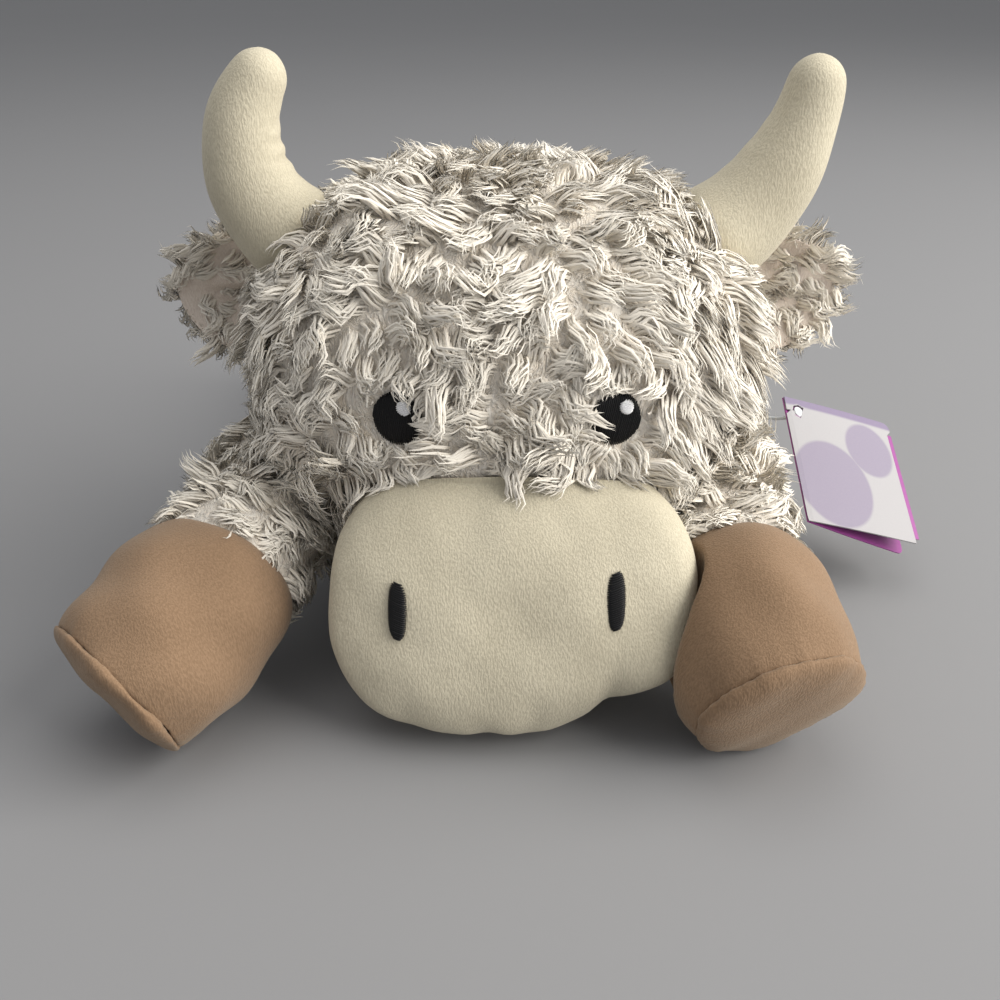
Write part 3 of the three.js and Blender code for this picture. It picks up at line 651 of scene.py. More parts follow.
class NodeSketch:
    """Lays shader nodes in a tree and wires them by socket."""

    def __init__(self, tree: bpy.types.NodeTree) -> None:
        """Keeps the tree that it adds to."""
        self.tree = tree

    def add(self, kind: str, inputs: Inputs | None = None, **settings: object) -> bpy.types.Node:
        """Adds a node.

        Args:
            kind: The node's type name.
            inputs: Socket name or number to a value or to a socket to link from.
            settings: The node's own properties.

        Returns:
            The node.
        """
        node = self.tree.nodes.new(kind)
        for key, value in settings.items():
            setattr(node, key, value)
        self.fit(node, inputs or {})
        return node

    def fit(self, node: bpy.types.Node, inputs: Inputs) -> None:
        """Sets a node's sockets, each to a value or linked from another socket.

        Args:
            node: The node.
            inputs: Socket name or number to a value or a socket.
        """
        for key, value in inputs.items():
            if isinstance(value, Socket):
                self.tree.links.new(value, node.inputs[key])
            else:
                node.inputs[key].default_value = value

    def math(self, operation: str, a: object, b: object = 0.0) -> Socket:
        """The result of one operation on two values."""
        return self.add("ShaderNodeMath", {0: a, 1: b}, operation=operation).outputs[0]

    def vector(self, operation: str, a: object, b: object) -> Socket:
        """The result of one operation on two vectors."""
        return self.add("ShaderNodeVectorMath", {0: a, 1: b}, operation=operation).outputs[0]

    def span(
        self, value: object, low: float, high: float, to_low: float = 0.0, to_high: float = 1.0
    ) -> Socket:
        """A value's range mapped to another, held at its ends."""
        inputs = {0: value, 1: low, 2: high, 3: to_low, 4: to_high}
        return self.add("ShaderNodeMapRange", inputs).outputs[0]

    def blend(self, share: object, a: object, b: object, way: str = "MIX") -> Socket:
        """Two colours blended by a share."""
        inputs = {0: share, 6: a, 7: b}
        return self.add("ShaderNodeMix", inputs, data_type="RGBA", blend_type=way).outputs[2]

    def noise(self, where: object, scale: object, detail: float = 2.0) -> Socket:
        """Cloudy noise of a scale per metre."""
        inputs = {"Vector": where, "Scale": scale, "Detail": detail}
        return self.add("ShaderNodeTexNoise", inputs).outputs[0]

    def here(self) -> Socket:
        """The place on the piece, in metres."""
        return self.add("ShaderNodeTexCoord").outputs["Object"]

    def attribute(self, name: str) -> Socket:
        """A value that the mesh carries."""
        return self.add("ShaderNodeAttribute", attribute_name=name).outputs["Fac"]

    def bump(self, height: object, strength: float, distance: float) -> Socket:
        """The normal of a small relief."""
        inputs = {"Height": height, "Strength": strength, "Distance": distance}
        return self.add("ShaderNodeBump", inputs).outputs[0]

    def relief(
        self, share: object, a: Triple, b: Triple, height: object, strength: float, distance: float
    ) -> Inputs:
        """A shader's inputs for two colours blended by a share, over a small relief."""
        tint = self.blend(share, colour(a), colour(b))
        return {"Base Color": tint, "Normal": self.bump(height, strength, distance)}


def brushed_nap() -> bpy.types.NodeTree:
    """The group for short nap: fine flecks over patches of painted sheen, lighter or darker as nap
    stroked different ways would catch the light.

    Returns:
        The group, with a tone and a height.
    """
    made = bpy.data.node_groups.get("brushed_nap")
    if made:
        return made
    tree = bpy.data.node_groups.new("brushed_nap", "ShaderNodeTree")
    for key, value in (("Flecks", 850.0), ("Strokes", 30.0), ("Ribs", 900.0)):
        socket = tree.interface.new_socket(key, in_out="INPUT", socket_type="NodeSocketFloat")
        socket.default_value = value
    for key in ("Tone", "Height"):
        tree.interface.new_socket(key, in_out="OUTPUT", socket_type="NodeSocketFloat")
    s = NodeSketch(tree)
    given, here = s.add("NodeGroupInput"), s.here()
    slant = {"Vector": here, "Rotation": (0.5, 0.55, 0.2), "Scale": (1.0, 1.0, 0.32)}
    flecks = s.noise(s.add("ShaderNodeMapping", slant).outputs[0], given.outputs["Flecks"], 3.0)
    # painted sheen: broad lighter and darker patches where the nap would catch the light
    # differently
    strokes = s.noise(here, given.outputs["Strokes"], 2.0)
    across = s.add("ShaderNodeSeparateXYZ", {0: here}).outputs["Z"]
    speed = s.math("MULTIPLY", given.outputs["Ribs"], RIB_TURN)
    ribs = s.math("SINE", s.math("MULTIPLY", across, speed))
    fine = s.math("ADD", s.span(flecks, 0.36, 0.64), s.math("MULTIPLY", ribs, 0.03))
    tone = s.math("ADD", s.math("MULTIPLY", fine, 0.45), s.math("MULTIPLY", strokes, 0.9))
    s.add("NodeGroupOutput", {"Tone": s.span(tone, 0.15, 1.2), "Height": fine})
    return tree


@dataclass(frozen=True)
class Finish:
    """What every finish has: a name, the record's slot and how it shines."""

    name: str
    slot: str
    roughness: float = 0.8
    specular: float = 0.5
    sheen: float = 0.0
    sheen_roughness: float = 0.5
    sheen_tint: Triple = (1.0, 1.0, 1.0)

    def material(self) -> bpy.types.Material:
        """The material, made the first time it is asked for.

        Returns:
            The material.
        """
        name = f"dressed_{self.name}"
        made = bpy.data.materials.get(name)
        if made:
            return made
        material = bpy.data.materials.new(name)
        material.use_nodes = True
        shader = next(n for n in material.node_tree.nodes if n.type == "BSDF_PRINCIPLED")
        sketch = NodeSketch(material.node_tree)
        even: Inputs = {
            "Roughness": self.roughness,
            "Specular IOR Level": self.specular,
            "Sheen Weight": self.sheen,
            "Sheen Roughness": self.sheen_roughness,
            "Sheen Tint": colour(self.sheen_tint),
        }
        sketch.fit(shader, even | self.paint(sketch))
        return material

    def paint(self, s: NodeSketch) -> Inputs:
        """The shader's inputs that vary over the surface; each finish has its own."""
        raise NotImplementedError

    def dress(self, obj: Piece) -> Piece:
        """Puts the finish on a piece.

        Args:
            obj: The piece.

        Returns:
            The piece.
        """
        obj.data.materials.clear()
        obj.data.materials.append(self.material())
        return obj


@dataclass(frozen=True)
class PileFinish(Finish):
    """Long glossy fibre in locks, a little darker and warmer where it is rooted, as painted shade
    deep in the pile.
    """

    specular: float = 0.12
    sheen: float = 0.2
    sheen_roughness: float = 0.4
    # root is painted shade: darker and warmer than the tip, for the shade deep in the pile
    root: Triple = (0.94, 0.86, 0.74)
    tip: Triple = (0.99, 0.933, 0.83)

    def paint(self, s: NodeSketch) -> Inputs:
        """Colours each lock from root to tip, darker at the root as painted shade, and draws its
        fine hairs along it.

        Args:
            s: Lays the nodes.

        Returns:
            The shader's inputs.
        """
        uv = s.add("ShaderNodeUVMap", uv_map="fibre").outputs[0]
        combed = s.add("ShaderNodeMapping", {"Vector": uv, "Scale": (12.0, 1.4, 1.0)}).outputs[0]
        hairs = s.noise(combed, 1.0, 2.0)
        along = s.math("POWER", s.attribute("along"), 0.6)
        # painted shade: the fibre colour darkens towards its root
        fibre = s.blend(along, colour(self.root), colour(self.tip))
        shade = s.span(s.attribute("tone"), 0.0, 1.0, 0.96)
        shade = s.math("MULTIPLY", shade, s.span(hairs, 0.3, 0.7, 0.84))
        grey = s.add("ShaderNodeCombineColor", {0: shade, 1: shade, 2: shade}).outputs[0]
        return {
            "Base Color": s.blend(1.0, fibre, grey, "MULTIPLY"),
            "Roughness": s.span(hairs, 0.3, 0.7, self.roughness + 0.14, self.roughness - 0.06),
            "Normal": s.bump(hairs, 0.4, 0.0003),
        }


@dataclass(frozen=True)
class UnderPileFinish(Finish):
    """The short growth between the wisps, darker in its dips as painted shade."""

    specular: float = 0.15
    sheen: float = 0.3
    # hollow is the dark end, for the drawn hair streaks and for painted shade in the dips
    hollow: Triple = (0.82, 0.73, 0.61)
    growth: Triple = (0.96, 0.90, 0.81)
    wave: float = 0.012

    def paint(self, s: NodeSketch) -> Inputs:
        """Wavy streaks that hang down, over soft dips in relief that are darkened as painted shade.

        Args:
            s: Lays the nodes.

        Returns:
            The shader's inputs.
        """
        here = s.here()
        cloud = {"Vector": here, "Scale": 120.0, "Detail": 1.0}
        drift = s.add("ShaderNodeTexNoise", cloud).outputs["Color"]
        wave = s.vector("MULTIPLY", drift, (self.wave, self.wave, self.wave))
        bent = s.vector("ADD", here, wave)
        combed = s.add("ShaderNodeMapping", {"Vector": bent, "Scale": (1.0, 1.0, 0.2)}).outputs[0]
        streaks = s.noise(combed, 900.0, 3.0)
        # painted shade: this noise darkens the colour in its dips as well as sinking the relief
        shaded_hollows = s.noise(here, 130.0, 1.0)
        share = s.math("ADD", streaks, s.math("MULTIPLY", shaded_hollows, 0.5))
        share = s.span(share, 0.55, 0.95)
        return s.relief(share, self.hollow, self.growth, share, 0.9, 0.0012)


@dataclass(frozen=True)
class VelvetFinish(Finish):
    """Short velvet nap with fine flecks, painted lighter in patches as painted sheen where it would
    be stroked towards the light.
    """

    specular: float = 0.08
    sheen: float = 0.22
    sheen_tint: Triple = (1.0, 0.95, 0.84)
    deep: Triple = (0.45, 0.404, 0.3)
    bright: Triple = (0.66, 0.604, 0.466)
    flecks: float = 1900.0
    # the scale of the patches of painted sheen
    strokes: float = 30.0
    relief: float = 0.28

    def paint(self, s: NodeSketch) -> Inputs:
        """Flecks of nap and patches of painted sheen.

        Args:
            s: Lays the nodes.

        Returns:
            The shader's inputs.
        """
        given = {"Flecks": self.flecks, "Strokes": self.strokes}
        nap = s.add("ShaderNodeGroup", given, node_tree=brushed_nap())
        tone, height = nap.outputs["Tone"], nap.outputs["Height"]
        return s.relief(tone, self.deep, self.bright, height, self.relief, 0.0006)


@dataclass(frozen=True)
class ThreadFinish(Finish):
    """Twisted embroidery thread."""

    specular: float = 0.25
    base: Triple = (0.004, 0.004, 0.0045)

    def paint(self, s: NodeSketch) -> Inputs:
        """Thread colour with a fine twist.

        Args:
            s: Lays the nodes.

        Returns:
            The shader's inputs.
        """
        twist = s.noise(s.here(), 2200.0)
        lighter = tuple(min(1.0, c * 1.8 + 0.003) for c in self.base)
        return s.relief(twist, self.base, lighter, twist, 0.4, 0.0002)


@dataclass(frozen=True)
class CardFinish(Finish):
    """Coated card with soft shapes of tint, given by place and radius as shares of the card."""

    specular: float = 0.15
    paper: Triple = (0.4, 0.39, 0.395)
    ink: Triple = (0.19, 0.145, 0.25)
    rounds: tuple[Triple, ...] = ((0.30, 0.66, 0.34), (0.72, 0.30, 0.22))
    blur: float = 0.012

    def paint(self, s: NodeSketch) -> Inputs:
        """Two soft rounds and a band of tint on plain card.

        Args:
            s: Lays the nodes.

        Returns:
            The shader's inputs.
        """
        uv = s.add("ShaderNodeUVMap", uv_map="card").outputs[0]
        split = s.add("ShaderNodeSeparateXYZ", {0: uv})
        share = s.span(split.outputs["Y"], 0.05, 0.07, 0.75, 0.0)
        for x, y, size in self.rounds:
            dx = s.math("SUBTRACT", split.outputs["X"], x)
            dy = s.math("SUBTRACT", split.outputs["Y"], y)
            square = s.math("ADD", s.math("MULTIPLY", dx, dx), s.math("MULTIPLY", dy, dy))
            away = s.math("SQRT", square)
            disc = s.span(away, size - self.blur, size + self.blur, 0.55, 0.0)
            share = s.math("MAXIMUM", share, disc)
        fibre = s.span(s.noise(s.here(), 1500.0), 0.3, 0.7, 0.0, 0.05)
        tint = s.math("ADD", share, fibre)
        return {"Base Color": s.blend(tint, colour(self.paper), colour(self.ink))}


@dataclass(frozen=True)
class PlainFinish(Finish):
    """An even stuff with faint mottling: moulded nylon, lining card or ribbon."""

    base: Triple = (0.8, 0.8, 0.8)
    mottle: float = 0.9
    grain: float = 600.0

    def paint(self, s: NodeSketch) -> Inputs:
        """Base colour, a little darker in patches.

        Args:
            s: Lays the nodes.

        Returns:
            The shader's inputs.
        """
        darker = tuple(c * self.mottle for c in self.base)
        cloud = s.noise(s.here(), self.grain, 3.0)
        return s.relief(cloud, darker, self.base, cloud, 0.12, 0.0003)


PILE = PileFinish("shaggy_pile", "shaggy_fur", 0.5)
BACKING_CLOTH = UnderPileFinish("under_pile", "shaggy_fur", 0.85)
CREAM_VELVET = VelvetFinish("cream_velvet", "cream_velvet", 0.75)
LINING_VELVET = VelvetFinish(
    "ear_velvet", "cream_velvet", 0.75, deep=(0.68, 0.57, 0.48), bright=(0.86, 0.77, 0.68)
)
TAN_VELVET = VelvetFinish(
    "tan_velvet",
    "tan_velvet",
    0.75,
    deep=(0.184, 0.115, 0.066),
    bright=(0.305, 0.199, 0.123),
    strokes=22.0,
)
BLACK_THREAD = ThreadFinish("black_thread", "black_thread", 0.42)
WHITE_THREAD = ThreadFinish("white_thread", "white_thread", 0.5, base=(0.82, 0.82, 0.84))
TAG_FACE = CardFinish("tag_face", "white_card", 0.62)
TAG_INSIDE = PlainFinish("tag_inside", "white_card", 0.4, base=(0.30, 0.055, 0.26))
NYLON = PlainFinish("clear_nylon", "clear_plastic", 0.25, base=(0.74, 0.77, 0.79), mottle=0.97)
FLOOR_PAPER = PlainFinish(
    "pale_floor", "", 0.85, base=(0.25, 0.25, 0.256), mottle=0.97, grain=3.0
)
SATIN = PlainFinish(
    "label_satin", "label_satin", 0.38, base=(0.87, 0.86, 0.84), mottle=0.93, grain=1500.0
)


# Shaggy pile


@dataclass(frozen=True)
class Pile:
    """How a stretch of shaggy cloth grows: clumps of pointed, wavy wisps."""

    gap: float = 5.8
    length: float = 13.8
    vary: float = 0.18
    rise: float = 28.0
    fall: float = 88.0
    stray: float = 35.0
    curl: float = 57.0
    bob: float = 18.0
    waves: float = 0.95
    wisps: int = 29
    width: float = 0.95
    spread: float = 0.8
    gather: float = 0.48
    frizz: float = 0.32


STEPS = np.array((0.0, 0.28, 0.54, 0.78, 1.0))  # where a wisp's rings and its tip lie
WIDTHS = np.array((0.85, 1.0, 0.9, 0.56))
WISP_SIDES = 3
WISP_DEPTH = 0.45  # as a share of its width


@dataclass
class Fibres:
    """Tapered, closed solids along lines of points: the wisps of a coat."""

    points: Array
    half: Array
    normal: Array
    tone: Array
    lock: Array
    twist: Array

    def where(self, wanted: Array) -> Fibres:
        """The ones that a mask keeps."""
        return Fibres(*(getattr(self, row.name)[wanted] for row in fields(self)))

    def places(self) -> tuple[Array, Array]:
        """The points of every solid, ring by ring with the tip last, and the ways they face.

        The first corner of a ring lies underneath, and the others share the flat outer face.

        Returns:
            The points and the unit vectors.
        """
        ahead = unit(np.gradient(self.points, axis=1))[:, :-1]
        across = unit(np.cross(ahead, self.normal[:, None, :] + 0.013))
        under = np.cross(ahead, across)
        turn = (self.twist[:, None] * STEPS[:-1])[..., None]
        cos, sin = np.cos(turn), np.sin(turn)
        across, under = cos * across + sin * under, cos * under - sin * across
        angle = FULL_TURN * np.arange(WISP_SIDES) / WISP_SIDES + math.pi / 2.0
        wide = np.cos(angle)[:, None] * across[:, :, None, :]
        deep = np.sin(angle)[:, None] * under[:, :, None, :]
        around = self.half[:, :, None, None] * (wide + WISP_DEPTH * deep)
        tube = self.points[:, :-1, None, :] + around
        face = unit(wide * 0.6 + np.sign(np.sin(angle))[:, None] * under[:, :, None, :])
        count = len(tube)
        places = np.concatenate((tube.reshape(count, -1, 3), self.points[:, -1:, :]), axis=1)
        faces = np.concatenate((face.reshape(count, -1, 3), -under[:, -1:, :]), axis=1)
        return places, faces

    @staticmethod
    def pattern() -> tuple[Array, Array, Array]:
        """What all the solids share.

        Returns:
            The faces by corner, how far along each corner lies, and the faces' cell of a map.
        """
        sides, rings = WISP_SIDES, len(STEPS) - 1
        faces = [(0, i + 1, i) for i in range(1, sides - 1)]
        turns = [2.4 * i for i in range(sides)]
        end = [(0.5 + 0.05 * math.cos(a), 0.05 * math.sin(a) - 0.06) for a in turns]
        spread = [[end[i] for i in face] for face in faces]
        for j in range(rings):
            low, high = STEPS[j], STEPS[j + 1]
            for s in range(sides):
                a, b = j * sides + s, j * sides + (s + 1) % sides
                left, right = s / sides, (s + 1) / sides
                if j == rings - 1:
                    faces.append((a, b, sides * rings))
                    spread.append([(left, low), (right, low), ((left + right) / 2, high)])
                    continue
                faces += [(a, b, b + sides), (a, b + sides, a + sides)]
                spread.append([(left, low), (right, low), (right, high)])
                spread.append([(left, low), (right, high), (left, high)])
        along = np.append(np.repeat(STEPS[:-1], sides), 1.0)
        return np.array(faces), along, np.array(spread).reshape(1, -1, 2)


def fibre_piece(name: str, fibres: Fibres) -> Piece:
    """One piece out of many fibres.

    Args:
        name: The piece's name.
        fibres: The wisps that it is made of.

    Returns:
        The piece, with each corner's way along its fibre, its tone and two maps.
    """
    places, facings = fibres.places()
    count, size = places.shape[:2]
    faces, along, cell = fibres.pattern()
    grid = math.ceil(math.sqrt(count))
    index = np.arange(count)
    corner = np.stack((index % grid, index // grid), axis=-1)[:, None, :]
    shift = np.stack((index * 5.37 % 211.0, np.zeros(count)), axis=-1)[:, None, :]
    corners = (faces[None] + (index * size)[:, None, None]).reshape(-1)
    data = bpy.data.meshes.new(name)
    data.vertices.add(count * size)
    data.vertices.foreach_set("co", (places * MM).ravel())
    data.loops.add(len(corners))
    data.loops.foreach_set("vertex_index", corners.astype(np.int32))
    data.polygons.add(len(corners) // 3)
    data.polygons.foreach_set("loop_start", np.arange(0, len(corners), 3, dtype=np.int32))
    data.update(calc_edges=True)
    data.shade_smooth()
    for key, kind, row, values in (
        ("along", "FLOAT", "value", np.tile(along, count)),
        ("tone", "FLOAT", "value", np.repeat(fibres.tone, size)),
        ("custom_normal", "FLOAT_VECTOR", "vector", facings.ravel()),
    ):
        layer = data.attributes.new(key, kind, "POINT")
        layer.data.foreach_set(row, values.astype(np.float32))
    for key, spots in (("OFBake", (cell * 0.8 + 0.12 + corner) / grid), ("fibre", cell + shift)):
        data.uv_layers.new(name=key).data.foreach_set("uv", spots.astype(np.float32).ravel())
    obj = bpy.data.objects.new(name, data)
    bpy.context.scene.collection.objects.link(obj)
    return obj


class Ground:
    """The surface that pile grows on."""

    def __init__(self, obj: Piece) -> None:
        """Reads a piece's triangles and their areas.

        Args:
            obj: The piece that it grows on.
        """
        data = obj.data
        data.calc_loop_triangles()
        index = np.empty(len(data.loop_triangles) * 3, np.int32)
        data.loop_triangles.foreach_get("vertices", index)
        index = index.reshape(-1, 3)
        self.corners = places_of(obj)[index]
        self.normals = normals_of(obj)[index]
        a, b, c = (self.corners[:, i] for i in range(3))
        self.areas = np.linalg.norm(np.cross(b - a, c - a), axis=1) / 2.0

    def scatter(self, count: int, rng: Chance) -> tuple[Array, Array]:
        """Random points, even over the surface.

        Args:
            count: How many.
            rng: The source of chance.

        Returns:
            The points and the surface's outward directions there.
        """
        which = rng.choice(len(self.areas), count, p=self.areas / self.areas.sum())
        u, v = rng.random((2, count))
        flip = u + v > 1.0
        u[flip], v[flip] = 1.0 - u[flip], 1.0 - v[flip]
        weights = np.stack((1.0 - u - v, u, v), axis=1)[:, :, None]
        facing = (self.normals[which] * weights).sum(axis=1)
        return (self.corners[which] * weights).sum(axis=1), unit(facing)


def along_ground(vectors: Array, upright: Array) -> Array:
    """Directions laid flat on a ground that faces upright."""
    return unit(vectors - (vectors * upright).sum(axis=1, keepdims=True) * upright)


def spaced(points: Array, gap: float) -> Array:
    """Which of many points to keep so that none lie closer than a gap.

    Args:
        points: One row each, the first ones first served.
        gap: The least distance.

    Returns:
        Their numbers.
    """
    tree = KDTree(len(points))
    for n, point in enumerate(points):
        tree.insert(point, n)
    tree.balance()
    free = np.ones(len(points), bool)
    kept: list[int] = []
    for n, point in enumerate(points):
        if free[n]:
            kept.append(n)
            free[[m for _, m, _ in tree.find_range(point, gap)]] = False
    return np.array(kept)


@dataclass
class Coat:
    """Pile over one piece of ground.

    Attributes:
        pile: How it grows.
        flow: The direction that it is brushed in.
        bare: Where nothing is rooted.
        seed: The source of chance.
        trim: How the length changes from place to place.
        calm: How the curl and the straying change from place to place.
        shoves: What the fibres are kept out of.
    """

    pile: Pile
    flow: Flow
    bare: Mask
    seed: int
    trim: Mask | None = None
    calm: Mask | None = None
    shoves: Sequence[Shove] = ()

    def grow(self, obj: Piece) -> Fibres:
        """The wisps that grow on a piece.

        Args:
            obj: The piece.

        Returns:
            The wisps.
        """
        rng = np.random.default_rng(self.seed)
        ground, pile = Ground(obj), self.pile
        tries, facing = ground.scatter(int(5.0 * ground.areas.sum() / pile.gap**2), rng)
        rooted = ~self.bare(tries)
        tries, facing = tries[rooted], facing[rooted]
        kept = spaced(tries, pile.gap)
        roots, upright = tries[kept], facing[kept]
        count = len(roots)
        trim = np.ones(count) if self.trim is None else self.trim(roots)
        length = pile.length * trim * np.exp(rng.normal(0.0, pile.vary, count))
        path = self.waved(roots, upright, length, rng)
        tone = np.clip(rng.normal(0.5, 0.2, count), 0.0, 1.0)
        return self.wisped(roots, upright, length, path, tone, rng)

    def wisped(
        self,
        roots: Array,
        upright: Array,
        length: Array,
        path: Array,
        tone: Array,
        rng: Chance,
    ) -> Fibres:
        """The wisps of each clump, which lean together towards its point.

        Args:
            roots: Where the clumps stand.
            upright: The ground's outward directions there.
            length: The clumps' lengths.
            path: Their lines.
            tone: How light each one is.
            rng: The source of chance.

        Returns:
            The wisps.
        """
        pile = self.pile
        own = np.repeat(np.arange(len(roots)), pile.wisps)
        count, out = len(own), upright[own]
        away = along_ground(rng.normal(size=(count, 3)), out)
        away *= (pile.gap * pile.spread * np.sqrt(rng.random(count)))[:, None]
        drawn = 1.0 - pile.gather * STEPS**1.2
        side = unit(np.cross(out, path[own, -1]) + 1e-6)
        speed = FULL_TURN * rng.uniform(0.8, 1.5, count)[:, None] * STEPS
        speed = speed + rng.uniform(0.0, PHASES, count)[:, None]
        frizz = (np.sin(speed) * pile.frizz * STEPS**0.6)[:, :, None] * side[:, None, :]
        loose = rng.normal(0.0, 0.05, (count, 1, 3)) * length[own][:, None, None]
        loose = loose * STEPS[None, :, None]
        line = self.read(path[own], STEPS, rng.uniform(0.66, 1.08, count)) - out[:, None, :] * 0.8
        beside = away[:, None, :] * drawn[None, :, None]
        points = roots[own][:, None, :] + line + beside + loose + frizz
        half = pile.width / 2.0 * rng.uniform(0.6, 1.4, count)[:, None] * WIDTHS
        shade = np.clip(tone[own] + rng.normal(0.0, 0.2, count), 0.0, 1.0)
        twist = rng.normal(0.0, 0.25, count)
        facing = unit(out + away * (0.6 / (pile.gap * pile.spread)))
        return Fibres(self.cleared(points), half, facing, shade, roots[own], twist)

    def waved(self, roots: Array, upright: Array, length: Array, rng: Chance) -> Array:
        """The line of each lock, from its root.

        Args:
            roots: Where the locks start.
            upright: The ground's outward directions there.
            length: The locks' lengths.
            rng: The source of chance.

        Returns:
            The lines, with 26 points each.
        """
        pile, count = self.pile, len(roots)
        calm = np.ones(count) if self.calm is None else self.calm(roots)
        brushed = along_ground(self.flow(roots), upright)
        beside = np.cross(upright, brushed)
        fine = np.linspace(0.0, 1.0, 25)
        speed = FULL_TURN * pile.waves * rng.uniform(0.75, 1.3, count)[:, None] * fine
        curl = (np.radians(pile.curl) * rng.uniform(0.5, 1.4, count) * calm)[:, None]
        turn = curl * np.sin(speed + rng.uniform(0.0, FULL_TURN, count)[:, None])
        turn += (np.radians(rng.normal(0.0, pile.stray, count)) * calm)[:, None]
        lean = np.radians(rng.normal(pile.rise, 8.0, count))[:, None]
        fall = np.radians(rng.normal(pile.fall, 13.0, count))[:, None]
        phase = rng.uniform(0.0, PHASES, count)[:, None]
        bob = (np.radians(pile.bob) * calm)[:, None] * np.sin(speed + phase)
        turn, tilt = turn[:, :, None], (lerp(lean, fall, fine**0.7) + bob * fine)[:, :, None]
        level = np.cos(turn) * brushed[:, None, :] + np.sin(turn) * beside[:, None, :]
        heading = np.cos(tilt) * upright[:, None, :] + np.sin(tilt) * level
        path = np.cumsum(heading, axis=1) * (length / len(fine))[:, None, None]
        return np.concatenate((np.zeros((count, 1, 3)), path), axis=1)

    @staticmethod
    def read(path: Array, steps: Array, reach: Array) -> Array:
        """Points of each line at steps along it, out to a share of its length.

        Args:
            path: The lines.
            steps: Where along the lines.
            reach: How far the lines go.

        Returns:
            The points, line by line.
        """
        last = path.shape[1] - 1
        spot = np.clip(steps[None, :] * reach[:, None], 0.0, 1.0) * last
        low = np.minimum(spot.astype(int), last - 1)
        rows = np.arange(len(path))[:, None]
        return lerp(path[rows, low], path[rows, low + 1], (spot - low)[:, :, None])

    def cleared(self, points: Array) -> Array:
        """Fibre points moved off what they lie on.

        Args:
            points: The points of each wisp.

        Returns:
            The same points, moved.
        """
        flat = points.reshape(-1, 3)
        for shove in self.shoves:
            flat = shove(flat)
        return above(flat, TABLE + 0.8).reshape(points.shape)


def finish_piece(
    obj: Piece, body: str, finish: Finish, *nodes: str, fill: float | None = None
) -> None:
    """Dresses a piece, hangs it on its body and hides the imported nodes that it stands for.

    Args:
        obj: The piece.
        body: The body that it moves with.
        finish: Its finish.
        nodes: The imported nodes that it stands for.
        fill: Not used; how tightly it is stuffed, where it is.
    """
    finish.dress(obj)
    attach(obj, body)
    if nodes:
        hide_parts(*nodes)
    obj.data.calc_loop_triangles()
    LOG.info("%s on %s: %d triangles", obj.name, body, len(obj.data.loop_triangles))


def everywhere(points: Array) -> Array:
    """A mask that takes every point."""
    return np.ones(len(points), bool)


def half(mask: Mask, side: Side) -> Mask:
    """A mask cut down to one side of the toy."""
    return lambda p: mask(p) & ((p[:, 0] > 0.0) == (side is Side.LEFT))


def lay_coat(coat: Fibres, body: str, parts: dict[str, Mask]) -> None:
    """Makes one coat into named pieces.

    Args:
        coat: Its wisps.
        body: The body that it moves with.
        parts: Piece names with masks over the places of the clumps.
    """
    for name, mask in parts.items():
        finish_piece(fibre_piece(name, coat.where(mask(coat.lock))), body, PILE)


# Embroidery


def satin_patch(
    name: str, width: float, height: float, lean: float, pitch: float, put: Flow, full: float = 2.0
) -> Piece:
    """A patch of satin stitch: threads laid side by side over an oval.

    Args:
        name: The piece's name.
        width: The oval's width.
        height: Its height.
        lean: The threads' angle from upright.
        pitch: The gap between threads.
        put: Takes places on the patch, across, up and out, to places on the toy.
        full: 2 for an oval and more for a slot with round corners.

    Returns:
        The piece.
    """
    rng = np.random.default_rng(len(name))
    turn = math.radians(lean)
    sizes = np.array((width, height)) / 2.0
    thread = unit(np.array((math.sin(turn), math.cos(turn))) / sizes)
    beside = np.array((thread[1], -thread[0])) * sizes
    thread = thread * sizes
    reach = abs(beside[0] * thread[1] - beside[1] * thread[0]) / np.linalg.norm(thread)
    count = max(4, round(2.0 * reach / pitch))
    steps = np.linspace(-1.0, 1.0, 9)
    threads = []
    for offset in (np.arange(count) + 0.5) / count * 2.0 - 1.0:
        spread = (1.0 - abs(offset) ** full) ** (1.0 / full)
        flat = beside * offset + thread * steps[:, None] * spread * rng.uniform(0.985, 1.015)
        dome = 0.7 * np.sqrt(np.maximum(0.0, 1.0 - steps**2)) * (0.5 + 0.5 * spread)
        dome += rng.normal(0.0, 0.04)
        threads.append(np.column_stack((flat, dome)))
    lines = put(np.array(threads).reshape(-1, 3)).reshape(len(threads), len(steps), 3)
    reference = unit(put(UP[None] * 5.0)[0] - put(np.zeros((1, 3)))[0])
    thick = pitch * 0.62 * np.sqrt(np.maximum(0.3, 1.0 - steps**8))
    pieces = []
    for line in lines:
        ahead = unit(np.gradient(line, axis=0))
        rings = [ring(p, a, reference, t, t, 6) for p, a, t in zip(line, ahead, thick)]
        pieces.append(drawn_skin(name, rings))
    for piece in pieces:
        piece.select_set(True)
    bpy.context.view_layer.objects.active = pieces[0]
    bpy.ops.object.join()
    return new_piece(name)


# Sub-assemblies


